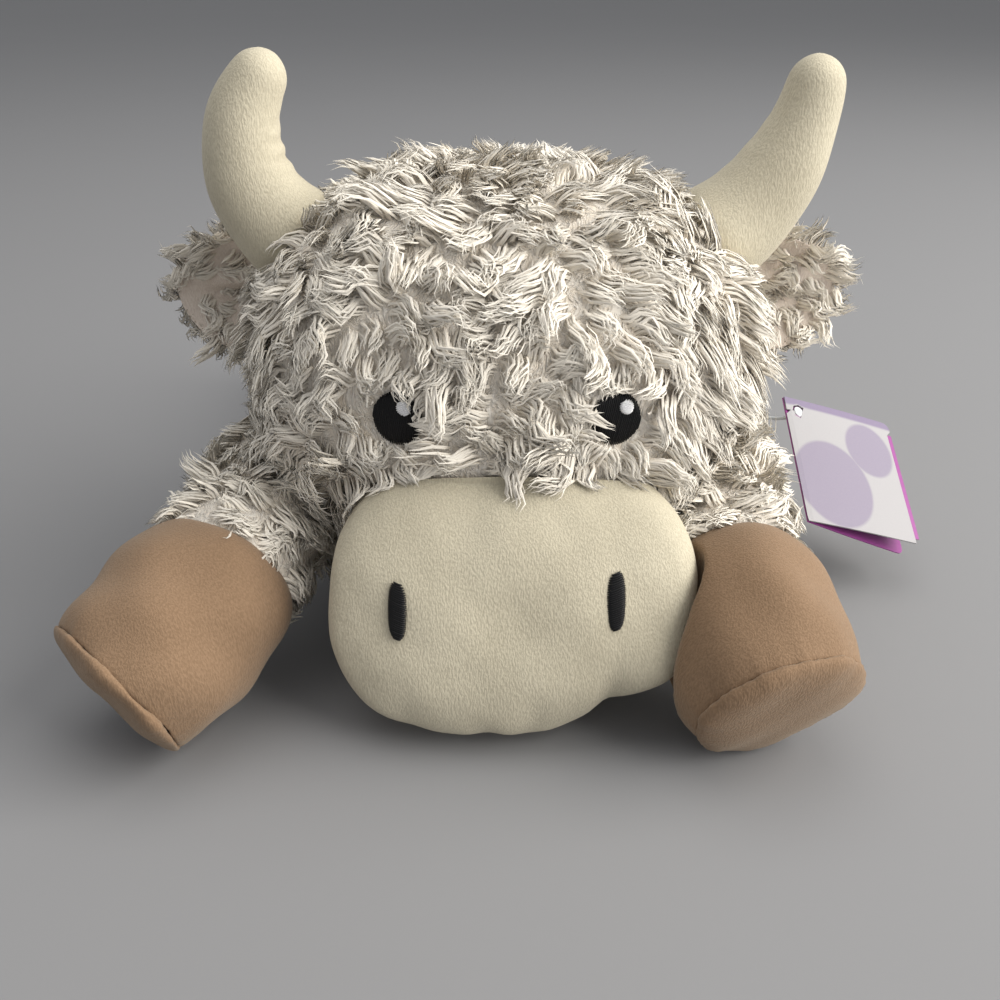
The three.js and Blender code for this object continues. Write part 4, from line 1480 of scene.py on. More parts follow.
@dataclass
class Eye:
    """One embroidered eye with its stitched highlight."""

    side: Side
    width: float = 16.0
    height: float = 18.0
    spread: float = 22.5
    sink: float = -4.6
    rise: float = 1.6
    glint: float = 4.6
    glint_up: float = 4.0
    glint_aside: float = 2.6
    glint_raise: float = 0.75
    pitch: float = 0.62
    glint_pitch: float = 0.55
    lean: float = 12.0
    glint_lean: float = 60.0
    depth: float = 25.0
    lock_wisps: int = 11

    @cached_property
    def axes(self) -> tuple[Array, Array, Array, Array]:
        """The eye's middle and its directions across, up and out."""
        place, out = HEAD.seat(self.spread, self.rise, self.side)
        across = unit(np.cross(UP, out))
        return place, across, np.cross(out, across), out

    def local(self, points: Array) -> Array:
        """Points as shares of the eye across and up, and their height.

        Args:
            points: One row each.

        Returns:
            Three numbers for each point.
        """
        place, across, top, out = self.axes
        away = points - place
        shares = away @ across / (self.width / 2), away @ top / (self.height / 2)
        return np.stack((*shares, away @ out), axis=-1)

    def over(self, points: Array) -> Array:
        """How far points lie from the eye's middle, as a share of its rim."""
        local = self.local(points)
        return np.hypot(local[..., 0], local[..., 1])

    def put(self, level: float) -> Flow:
        """Takes places on the eye to the head, at a level from the pile's tips.

        Args:
            level: Height from the pile's tips.

        Returns:
            A function of places across, up and out.
        """
        place, across, top, _ = self.axes

        def onto(spots: Array) -> Array:
            """Each spot set down on the head's form.

            Args:
                spots: Places across, up and out.

            Returns:
                Points of the toy.
            """
            flat = place + spots[:, :1] * across + spots[:, 1:2] * top
            base = HEAD.onto(flat, level)
            return base + HEAD.outward(base) * spots[:, 2:]

        return onto

    @property
    def falls(self) -> tuple[tuple[float, float, float, float], ...]:
        """Where locks fall over the rim: from and to, as shares of the eye across and up."""
        if self.side is Side.LEFT:
            return (-2.0, 0.4, -0.05, -0.15), (-1.6, -0.5, -0.45, -0.55), (-0.9, -1.6, -0.3, -0.7)
        return (1.7, -0.2, 0.5, 0.05), (1.4, -1.0, 0.3, -0.7), (0.5, -1.7, -0.15, -0.75)

    def wisps(self) -> Fibres:
        """The locks that fall over the eye's rim.

        Returns:
            The wisps.
        """
        rng = np.random.default_rng(90 + self.side.value)
        size, spots = np.array((self.width, self.height)), []
        for fall in np.array(self.falls):
            for _ in range(self.lock_wisps):
                end = fall[2:] + rng.normal(0.0, 0.1, 2)
                start = fall[:2] + rng.normal(0.0, 0.16, 2)
                flat = lerp(start, end, STEPS[:, None] * rng.uniform(0.75, 1.05))
                flat[:, 1] += 0.16 * np.sin(math.pi * STEPS * 1.4 + rng.uniform(-0.4, 0.4))
                high = 0.2 + 2.9 * np.sin(math.pi * (0.12 + 0.74 * STEPS)) + rng.normal(0.0, 0.25)
                spots.append(np.column_stack((flat * size / 2.0, high)))
        count = len(spots)
        points = self.put(self.sink)(np.array(spots).reshape(-1, 3)).reshape(count, len(STEPS), 3)
        half = 0.5 * rng.uniform(0.7, 1.2, count)[:, None] * WIDTHS
        normal = np.broadcast_to(self.axes[3], (count, 3))
        tone = rng.uniform(0.4, 0.9, count)
        return Fibres(points, half, normal, tone, points[:, 0], np.zeros(count))

    def build(self) -> None:
        """Stitches the eye and its highlight and lets the locks fall."""
        word, put = self.side.word, self.put(self.sink)
        name, sizes = f"eye_stitches_{word}", (self.width, self.height)
        eye = satin_patch(name, *sizes, self.lean, self.pitch, put)
        finish_piece(eye, "head", BLACK_THREAD, f"eye_{word}")
        middle = self.put(self.sink + self.glint_raise)

        def shifted(spots: Array) -> Array:
            """Highlight spots moved to their corner of the eye."""
            return middle(spots + np.array((self.glint_aside, self.glint_up, 0.0)))

        name, size = f"eye_glint_stitches_{word}", self.glint
        glint = satin_patch(name, size, size, self.glint_lean, self.glint_pitch, shifted)
        finish_piece(glint, "head", WHITE_THREAD, f"eye_glint_{word}")
        lay_coat(self.wisps(), "head", {f"eye_wisps_{word}": everywhere})


@dataclass(frozen=True)
class Dent:
    """A pucker or dimple in stuffed cloth, seen from the front."""

    x: float
    z: float
    wide: float
    high: float
    deep: float
    lean: float = 0.0

    def depth(self, points: Array) -> Array:
        """How far it draws points in.

        Args:
            points: One row each.

        Returns:
            One depth for each point.
        """
        turn = math.radians(self.lean)
        dx, dz = points[:, 0] - self.x, points[:, 2] - self.z
        across = dx * math.cos(turn) - dz * math.sin(turn)
        along = dx * math.sin(turn) + dz * math.cos(turn)
        return self.deep * np.exp(-((across / self.wide) ** 2) - (along / self.high) ** 2)


@dataclass
class Muzzle:
    """The stuffed velvet muzzle with its stitched nostrils."""

    corner_lift: float = 9.0
    cheek_swell: float = 4.6
    nostril_spacing: float = 65.0
    nostril_width: float = 5.5
    nostril_height: float = 16.5
    nostril_rise: float = 52.0
    nostril_step: float = 1.4
    nostril_lean: float = 74.0
    nostril_fullness: float = 2.8
    pitch: float = 0.6
    sewn_in: float = 2.0
    swell: Sway = Sway(34.0, 5, 0.3)
    pucker: Sway = Sway(13.0, 6, 0.07)
    dents: tuple[Dent, ...] = (
        Dent(31.0, 16.0, 4.0, 13.0, 3.4, 8.0),
        Dent(25.0, 10.0, 9.0, 8.0, 1.6),
        Dent(-6.0, 6.0, 4.5, 8.0, 1.6, -12.0),
        Dent(8.0, 12.0, 4.5, 10.0, 1.2, 6.0),
        Dent(-30.0, 12.0, 5.0, 12.0, 1.2, -14.0),
        Dent(-11.0, 78.0, 7.0, 12.0, 1.1, 4.0),
        Dent(56.0, 78.0, 6.0, 9.0, 1.4, 30.0),
        Dent(14.0, 84.0, 6.0, 8.0, 1.2, -8.0),
    )

    def lifted(self, points: Array) -> Array:
        """Points with the chin's left corner drawn up.

        Args:
            points: One row each.

        Returns:
            The same points, moved.
        """
        aside, low = smoothstep(points[:, 0], 6.0, 40.0), smoothstep(-points[:, 2], -44.0, -8.0)
        points[:, 2] += self.corner_lift * aside * low
        return points

    def cheek(self, points: Array) -> Array:
        """How far the left cheek swells over the hoof that it leans on."""
        aside, high = smoothstep(points[:, 0], 30.0, 58.0), smoothstep(points[:, 2], 8.0, 30.0)
        return self.cheek_swell * aside * high

    def build(self) -> None:
        """Shapes the muzzle and stitches the nostrils."""
        muzzle = round_ball("muzzle_velvet", 6)
        points = self.lifted(MUZZLE.place(unit(places_of(muzzle)), -0.4))
        points = points + MUZZLE.outward(points) * self.cheek(points)[:, None]
        front = smoothstep(-points[:, 1], 112.0, 132.0)
        points[:, 1] += sum(dent.depth(points) for dent in self.dents) * front
        set_places(muzzle, points)
        push(muzzle, self.swell.at(points)[:, 0] + self.pucker.at(points)[:, 0])
        points = HEAD.shove(BACKING + self.sewn_in)(places_of(muzzle))
        set_places(muzzle, above(points, TABLE))
        finish_piece(tidy(muzzle), "head", CREAM_VELVET, "muzzle_skin", "muzzle_stuffing", fill=0.8)
        for side in Side:
            self.nostril(side)

    def nostril(self, side: Side) -> None:
        """Stitches one nostril.

        Args:
            side: Which side.
        """
        middle = side.value * self.nostril_spacing / 2.0
        rise = self.nostril_rise + side.value * self.nostril_step

        def put(spots: Array) -> Array:
            """Spots set down on the muzzle's front."""
            base = MUZZLE.front(spots[:, 0] + middle, spots[:, 1] + rise, 0.1)
            return base - np.outer(spots[:, 2], BACK)

        name, lean = f"nostril_stitches_{side.word}", self.nostril_lean * side.value
        sizes = (self.nostril_width, self.nostril_height)
        stitches = satin_patch(name, *sizes, lean, self.pitch, put, self.nostril_fullness)
        finish_piece(stitches, "head", BLACK_THREAD, f"nostril_{side.word}")


@dataclass
class Horn:
    """One velvet horn: an arc that leans outward at the root and turns upright."""

    side: Side
    lean_root: float
    lean_tip: float
    root_diameter: float = 37.0
    tip_diameter: float = 21.0
    length: float = 53.0
    spread: float = 92.0
    rise: float = 38.0
    sink: float = 4.0
    thinner: float = 1.1
    fold_depth: float = 0.7
    seam_depth: float = 0.55
    seam_width: float = 0.09
    sides: int = 20
    drift: Sway = Sway(30.0, 3)
    swell: Sway = Sway(26.0, 8, 0.35)

    @cached_property
    def root(self) -> Array:
        """The middle of the horn's root."""
        point, out = HEAD.seat(self.spread, self.rise, self.side)
        return point - out * self.sink

    def lean(self, share: float) -> float:
        """The horn's lean from upright at a share of its length, in radians."""
        return math.radians(lerp(self.lean_root, self.lean_tip, share))

    def ahead(self, share: float) -> Array:
        """The direction of the horn at a share of its length."""
        lean = self.lean(share)
        return np.array((self.side.value * math.sin(lean), 0.0, math.cos(lean)))

    def at(self, share: float) -> Array:
        """The middle of the horn at a share of its length.

        Args:
            share: Share of the length.

        Returns:
            The point.
        """
        start, lean = self.lean(0.0), self.lean(share)
        radius = self.length / (self.lean(1.0) - start)
        aside = self.side.value * radius * (math.cos(start) - math.cos(lean))
        return self.root + np.array((aside, 0.0, radius * (math.sin(lean) - math.sin(start))))

    def radius(self, share: float) -> float:
        """The horn's radius at a share of its length."""
        return lerp(self.root_diameter, self.tip_diameter, share) / 2.0 - self.thinner

    def ring_at(self, share: float, forward: float = 0.0, shrink: float = 1.0) -> Array:
        """A ring of the horn, moved forward from a share of its length.

        Args:
            share: Share of the length.
            forward: How far it is moved on.
            shrink: Its share of the radius.

        Returns:
            The ring's points.
        """
        ahead = self.ahead(share)
        wide = self.radius(share) * shrink
        return ring(self.at(share) + ahead * forward, ahead, BACK, wide, wide, self.sides)

    def fill(self, points: Array) -> Array:
        """How far out points lie from the root: 1 on its surface."""
        return np.linalg.norm(points - self.root, axis=-1) / (self.root_diameter / 2.0)

    def build(self) -> None:
        """Draws the horn out, rounds its tip and gathers its seam."""
        dome = [(math.sin(a), math.cos(a)) for a in np.radians((25.0, 50.0, 72.0, 86.0))]
        root = self.radius(0.0)
        rings = [self.ring_at(0.0, -root * f, s) for f, s in reversed(dome[:3])]
        rings += [self.ring_at(share) for share in np.linspace(0.0, 1.0, 12)]
        rings += [self.ring_at(1.0, self.radius(1.0) * f, s) for f, s in dome]
        horn = refine(drawn_skin(f"horn_velvet_{self.side.word}", rings), 2)
        points, normals = places_of(horn), normals_of(horn)
        creased = np.exp(-np.abs((normals @ LEFT) * self.side.value + 0.92) * 9.0)
        low = smoothstep(-np.linalg.norm(points - self.root, axis=1), -46.0, -16.0)
        folds = np.sin(points[:, 2] * 1.05 + self.drift.at(points)[:, 0])
        folds = folds * self.fold_depth * creased * low
        outward = normals @ LEFT * self.side.value > 0.0
        seam = -self.seam_depth * np.exp(-((normals @ BACK) / self.seam_width) ** 2) * outward
        push(horn, folds + seam + self.swell.at(points)[:, 1])
        nodes = [f"horn_{k}_{self.side.word}" for k in ("skin", "stuffing")]
        finish_piece(in_order(tidy(horn)), f"horn_{self.side.word}", CREAM_VELVET, *nodes, fill=0.9)


@dataclass
class Ear:
    """One ear: a shaggy back and a smooth lining, cupped forward."""

    side: Side
    length: float = 46.0
    width: float = 44.0
    cup: float = 9.0
    spread: float = 116.0
    rise: float = 14.0
    sink: float = 6.0
    droop: float = 8.0
    lining_leaf: Triple = (2.0, 2.6, 0.92)  # thickness, place ahead and share of the outline
    back_leaf: Triple = (4.0, -1.2, 0.93)
    fold_high: float = 7.0
    fold_deep: float = 3.5
    middle: float = 17.0
    half_along: float = 23.0
    half_across: float = 22.0
    pile: Pile = Pile(gap=4.8, length=12.0, rise=30.0, wisps=20)
    fringe: Pile = Pile(gap=4.0, length=12.5, rise=30.0, wisps=20)
    tousle: Sway = Sway(22.0, 31, 0.5)

    @cached_property
    def axes(self) -> tuple[Array, Array, Array]:
        """The ear's root and its directions along and across."""
        place, _ = HEAD.seat(self.spread, self.rise, self.side)
        droop = math.radians(self.droop)
        along = np.array((self.side.value * math.cos(droop), 0.0, -math.sin(droop)))
        return place, along, np.cross(BACK, along)

    def leaf(self, name: str, thickness: float, ahead: float, shrink: float) -> Piece:
        """A cupped leaf.

        Args:
            name: The piece's name.
            thickness: Of the leaf's middle.
            ahead: How far it lies in front of the ear's middle surface.
            shrink: Its share of the ear's outline.

        Returns:
            The piece.
        """
        leaf = round_ball(name, 5)
        p = unit(places_of(leaf))
        up = -self.side.value * p[:, 1]
        along = ((p[:, 0] * shrink + 1.0) / 2.0) * self.length - self.sink
        wide = p[:, 1] * shrink * self.width * (1.0 - 0.18 * p[:, 0]) / 2.0
        pinch = 1.0 - 0.3 * smoothstep(-along, -14.0, 4.0)
        off = up - (-0.22 + 0.28 * (p[:, 0] + 1.0) / 2.0)
        near = smoothstep(-along, -34.0, -6.0)
        fold = self.fold_high * np.exp(-((off / 0.14) ** 2))
        fold -= self.fold_deep * np.exp(-(((off - 0.3) / 0.22) ** 2))
        depth = p[:, 2] * thickness / 2.0 - self.cup * p[:, 1] ** 2 - ahead + fold * near
        root, toward, across = self.axes
        flat = root + np.outer(along, toward) + np.outer(wide * pinch, across)
        set_places(leaf, flat + np.outer(depth, BACK))
        return tidy(leaf)

    def reach(self, points: Array) -> Array:
        """How far points lie from the ear's middle, as a share of its outline.

        Args:
            points: One row each.

        Returns:
            One share for each point.
        """
        root, toward, across = self.axes
        away = points - root
        along = (away @ toward - self.middle) / self.half_along
        return np.hypot(along, (away @ across) / self.half_across)

    def flow(self, points: Array) -> Array:
        """From the root out to the rim, and a little forward.

        Args:
            points: One row each.

        Returns:
            One direction for each point.
        """
        root, toward, across = self.axes
        away = points - root
        rim = np.outer(away @ across, across) / 15.0
        return toward * 0.8 + rim + self.tousle.at(points) - BACK * 0.6 - UP * 0.2

    def build(self) -> None:
        """Shapes the two leaves and grows the pile round the back, the rim and the hollow."""
        word, body = self.side.word, f"ear_{self.side.word}"
        lining = self.leaf(f"ear_lining_velvet_{word}", *self.lining_leaf)
        back = self.leaf(f"ear_back_cloth_{word}", *self.back_leaf)

        def buried(points: Array) -> Array:
            """What the head covers."""
            return HEAD.fill(points, -6.0) < 1.0

        def no_back(points: Array) -> Array:
            """All but the back and the rim."""
            return buried(points) | ((self.reach(points) < 0.8) & self.front_of(points))

        def no_fringe(points: Array) -> Array:
            """The crease of the hollow and the lining's far side."""
            return buried(points) | (self.reach(points) < 0.1) | ~self.front_of(points)

        def short(points: Array) -> Array:
            """Short in the hollow and full at the rim."""
            return lerp(0.6, 0.98, smoothstep(self.reach(points), 0.2, 0.75))

        coat = Coat(self.pile, self.flow, no_back, 40 + self.side.value).grow(back)
        fringe = Coat(self.fringe, self.flow, no_fringe, 44 + self.side.value, short).grow(lining)
        finish_piece(lining, body, LINING_VELVET, f"ear_lining_{word}")
        finish_piece(back, body, BACKING_CLOTH, f"ear_back_{word}", fill=0.5)
        lay_coat(coat, body, {f"ear_coat_{word}": everywhere})
        lay_coat(fringe, body, {f"ear_fringe_{word}": everywhere})

    def front_of(self, points: Array) -> Array:
        """Whether points lie on the ear's hollow side.

        Args:
            points: One row each.

        Returns:
            A truth for each point.
        """
        root, _, across = self.axes
        away = points - root
        middle = -self.cup * (away @ across / (self.width / 2.0)) ** 2
        return away[:, 1] < middle + 0.6


@dataclass
class Leg:
    """One leg: a shaggy sleeve, a velvet hoof and a velvet sole."""

    name: str
    side: Side
    spread: float
    reach: float
    splay: float
    turn: float
    droop: float
    rise: float = 12.0
    root_diameter: float = 50.0
    hoof_top: float = 58.0
    sole_width: float = 57.0
    sole_height: float = 54.0
    dome: float = 6.0
    hoof_length: float = 41.0
    straight: float = 56.0
    sides: int = 24
    pile: Pile = Pile(gap=5.8)
    hoof_swell: Sway = Sway(30.0, 12, 0.5)
    sole_swell: Sway = Sway(24.0, 14, 0.4)
    parting: Sway = Sway(17.0, 53)
    tousle: Sway = Sway(40.0, 51, 0.55)

    def __post_init__(self) -> None:
        """Works out the leg's curve."""
        point, out = TRUNK.seat(self.spread, self.rise, self.side)
        self.root = point + out * 2.0
        droop = math.radians(self.droop)
        self.sole_normal = self.heading(self.turn) * math.cos(droop) - UP * math.sin(droop)
        self.sole = self.root + self.heading(self.splay) * self.reach
        self.sole[2] = self.sole_height / 2.0 * math.cos(droop) + TABLE
        handle = self.sole - self.sole_normal * self.straight
        self.bend = Bend(self.root, handle, self.sole)
        self.hoof_start = 1.0 - self.hoof_length / self.bend.length

    def heading(self, angle: float) -> Array:
        """A level direction, as an angle from straight ahead to the leg's side."""
        a = math.radians(angle)
        return np.array((self.side.value * math.sin(a), -math.cos(a), 0.0))

    def ring_at(self, share: float, inset: float) -> Array:
        """A ring of the leg at a share of its length.

        Args:
            share: Share of the length.
            inset: How much smaller it is.

        Returns:
            The ring's points.
        """
        to_hoof = float(smoothstep(share, 0.0, self.hoof_start))
        to_sole = float(smoothstep(share, self.hoof_start, 1.0))
        sleeve = lerp(self.root_diameter, self.hoof_top, to_hoof)
        wide = lerp(sleeve, self.sole_width, to_sole) / 2.0 - inset
        high = lerp(sleeve, self.sole_height, to_sole) / 2.0 - inset
        ahead = unit(lerp(self.bend.ahead(min(share, 1.0)), self.sole_normal, to_sole))
        past = max(0.0, share - 1.0) * self.bend.length
        return ring(self.bend.at(min(share, 1.0)) + ahead * past, ahead, UP, wide, high, self.sides)

    def fill(self, points: Array, inset: float) -> Array:
        """How far out points lie from the leg's curve: 1 on its sleeve."""
        gap, _, _ = self.bend.nearest(points)
        return gap / (self.root_diameter / 2.0 - inset)

    def label(self, kind: str) -> str:
        """A node's name."""
        return f"{self.name}_{kind}_{self.side.word}"

    @property
    def body(self) -> str:
        """The leg's body."""
        return f"{self.name}_{self.side.word}"

    def build(self) -> None:
        """Makes the hoof, the sole, the sleeve and its coat."""
        self.build_hoof()
        self.build_sole()
        self.build_sleeve()

    def gathers(self, points: Array, reach: float) -> Array:
        """Small gathers that fade away from the sole's seam.

        Args:
            points: One row each.
            reach: How far they run.

        Returns:
            One depth for each point.
        """
        away = points - self.sole
        back = away @ self.sole_normal
        side = unit(np.cross(UP, self.sole_normal))
        top = np.cross(self.sole_normal, side)
        angle = np.arctan2(away @ top, away @ side)
        far = np.hypot(away @ top, away @ side) / (self.sole_width / 2.0)
        strength = np.exp(-np.abs(back) / reach) * smoothstep(far, 0.6, 0.95)
        fine = np.sin(angle * 31.0 + np.sin(angle * 5.0) * 2.0) * 0.22
        return (fine + np.sin(angle * 13.0) * 0.18) * strength

    def build_hoof(self) -> None:
        """Draws the hoof from under the sleeve to the seam and turns it in there."""
        start = self.hoof_start
        rings = [self.ring_at(start - 0.09, 6.0), self.ring_at(start - 0.05, 2.0)]
        for share in np.linspace(0.0, 1.0, 8):
            bulge = 1.3 * math.sin(math.pi * share) - 1.2 * float(smoothstep(share, 0.9, 1.0))
            rings.append(self.ring_at(lerp(start, 0.985, share), -bulge))
        rings += [self.ring_at(0.998, 2.0), self.ring_at(0.997, 4.2), self.ring_at(0.98, 7.0)]
        hoof = refine(drawn_skin(self.label("hoof_velvet"), rings), 2)
        points = places_of(hoof)
        push(hoof, self.gathers(points, 7.0) + self.hoof_swell.at(points)[:, 0])
        set_places(hoof, above(MUZZLE.shove(7.0)(places_of(hoof)), TABLE))
        finish_piece(in_order(tidy(hoof)), self.body, TAN_VELVET, self.label("hoof"), fill=0.9)

    def oval(self, lift: float, inset: float, share: float = 1.0) -> Array:
        """A ring of the sole, lifted off its seam and shrunk to a share.

        Args:
            lift: Height off the seam.
            inset: How much smaller it is.
            share: Its share of the oval.

        Returns:
            The ring's points.
        """
        wide, high = self.sole_width / 2.0 - inset, self.sole_height / 2.0 - inset
        place = self.sole + self.sole_normal * lift
        return ring(place, self.sole_normal, UP, wide * share, high * share, self.sides)

    def build_sole(self) -> None:
        """A domed panel whose rim turns down into the seam."""
        rings = [self.oval(-1.6, 4.0)]
        for angle in (0.0, 18.0, 36.0, 54.0, 70.0, 82.0):
            a = math.radians(angle)
            lift = self.dome * math.sin(a) ** 0.85 - 0.4
            rings.append(self.oval(lift, 0.3, math.cos(a) ** 0.8))
        sole = refine(drawn_skin(self.label("sole_velvet"), rings), 2)
        points = places_of(sole)
        push(sole, self.gathers(points, 4.0) + self.sole_swell.at(points)[:, 2])
        set_places(sole, above(places_of(sole), TABLE))
        finish_piece(in_order(tidy(sole)), self.body, TAN_VELVET, self.label("sole"), fill=0.9)

    def build_sleeve(self) -> None:
        """The sleeve's backing and its shaggy coat."""
        rings = [self.ring_at(0.0, 16.0), self.ring_at(0.02, -BACKING)]
        rings += [self.ring_at(share, -BACKING) for share in np.linspace(0.12, self.hoof_start, 7)]
        rings += [self.ring_at(self.hoof_start + 0.01, 9.0)]
        sleeve = refine(drawn_skin(self.label("sleeve_cloth"), rings), 1)

        def flow(points: Array) -> Array:
            """Down the leg, hanging a little, and round it at the hoof's seam.

            Args:
                points: One row each.

            Returns:
                One direction for each point.
            """
            _, share, ahead = self.bend.nearest(points)
            turned = smoothstep(share, self.hoof_start - 0.3, self.hoof_start - 0.08)[:, None]
            about = np.cross(ahead, unit(points - self.bend.middle(share)))
            about *= np.sign(self.parting.at(points)[:, :1])
            along = lerp(ahead, about + ahead * 0.35, turned)
            return along + self.tousle.at(points) - UP * 0.25

        def bare(points: Array) -> Array:
            """What the trunk, the head or the muzzle covers.

            Args:
                points: One row each.

            Returns:
                A truth for each point.
            """
            covered = (TRUNK.fill(points, -8.0) < 1.0) | (HEAD.fill(points, -8.0) < 1.0)
            _, share, _ = self.bend.nearest(points)
            covered |= share > self.hoof_start - 0.06
            return covered | (MUZZLE.fill(points, 0.0) < 1.0) | (points[:, 2] < 2.0)

        def trim(points: Array) -> Array:
            """Short at the hoof's seam."""
            _, share, _ = self.bend.nearest(points)
            return lerp(1.0, 0.7, smoothstep(share, self.hoof_start - 0.22, self.hoof_start - 0.08))

        def clear_of_hoof(batch: Fibres) -> Array:
            """Whether wisps keep out of the hoof and end near its rim.

            Args:
                batch: The wisps.

            Returns:
                A truth for each wisp.
            """
            spots = batch.points.reshape(-1, 3)
            gap, share, _ = self.bend.nearest(spots)
            turned_in = smoothstep(-share, -self.hoof_start, 0.09 - self.hoof_start)
            rim = self.hoof_top / 2.0 - 6.0 * turned_in
            inside = (share > self.hoof_start - 0.05) & (gap < rim + 0.4)
            over = share > self.hoof_start + 0.012
            return ~(inside | over).reshape(batch.points.shape[:2]).any(axis=1)

        seed = 60 + 2 * self.side.value + len(self.name) + int(self.reach)
        coat = Coat(self.pile, flow, bare, seed, trim, shoves=(MUZZLE.shove(1.0),))
        grown = coat.grow(sleeve)
        grown = grown.where(clear_of_hoof(grown))
        nodes = (self.label("sleeve"), self.label("stuffing"))
        finish_piece(tidy(sleeve), self.body, BACKING_CLOTH, *nodes, fill=0.8)
        lay_coat(grown, self.body, {self.label("coat"): everywhere})


@dataclass
class Tail:
    """The tail: a velvet strap with a shaggy tuft on its end."""

    diameter: float = 13.0
    length: float = 52.0
    height: float = 74.0
    tuft_length: float = 34.0
    tuft_diameter: float = 22.0
    pile: Pile = Pile(gap=4.0, length=15.0, rise=30.0, fall=58.0)
    tousle: Sway = Sway(20.0, 71, 0.35)

    def build(self) -> None:
        """Draws the strap and grows the tuft."""
        rise = (self.height - TRUNK.centre[2]) / TRUNK.semi[2]
        root = np.array((0.0, TRUNK.rear * math.sqrt(1.0 - rise * rise), self.height))
        drop = self.length * math.sqrt(0.5)
        handle, end = root + BACK * drop * 0.7, root + BACK * drop * 0.9 - UP * drop
        bend = Bend(root, handle, end)
        rings = []
        shares = (-0.1, -0.06, 0.0, 0.15, 0.3, 0.45, 0.6, 0.75, 0.9, 0.98)
        for share in shares:
            radius = self.diameter / 2.0 * (1.0 - 0.25 * max(share, 0.0))
            radius *= 0.5 if share in (shares[0], shares[-1]) else 1.0
            place = bend.at(max(share, 0.0)) + bend.ahead(0.0) * min(share, 0.0) * bend.length
            rings.append(ring(place, bend.ahead(max(share, 0.0)), LEFT, radius, radius, 14))
        strap = refine(drawn_skin("tail_strap_velvet", rings), 2)
        points = places_of(strap)
        push(strap, np.sin(points[:, 2] * 1.1) * 0.2)
        finish_piece(in_order(tidy(strap)), "tail", CREAM_VELVET, "tail_strap", fill=0.7)
        start = bend.at(1.0 - self.tuft_length * 0.4 / bend.length)
        down = bend.ahead(1.0)
        tuft = round_ball("tail_tuft_cloth", 4)
        p = unit(places_of(tuft))
        radius = self.tuft_diameter / 2.0 - 4.5
        along = (p[:, 2] + 1.0) / 2.0 * (self.tuft_length - 9.0) + 1.0
        points = start + np.outer(along, down) + np.outer(p[:, 0] * radius, LEFT)
        set_places(tuft, points + np.outer(p[:, 1] * radius, np.cross(down, LEFT)))

        def flow(points: Array) -> Array:
            """Down the tail."""
            return down + self.tousle.at(points)

        grown = Coat(self.pile, flow, lambda points: ~everywhere(points), 72).grow(tidy(tuft))
        finish_piece(tuft, "tail", BACKING_CLOTH, "tail_tuft", fill=0.6)
        lay_coat(grown, "tail", {"tail_coat": everywhere})


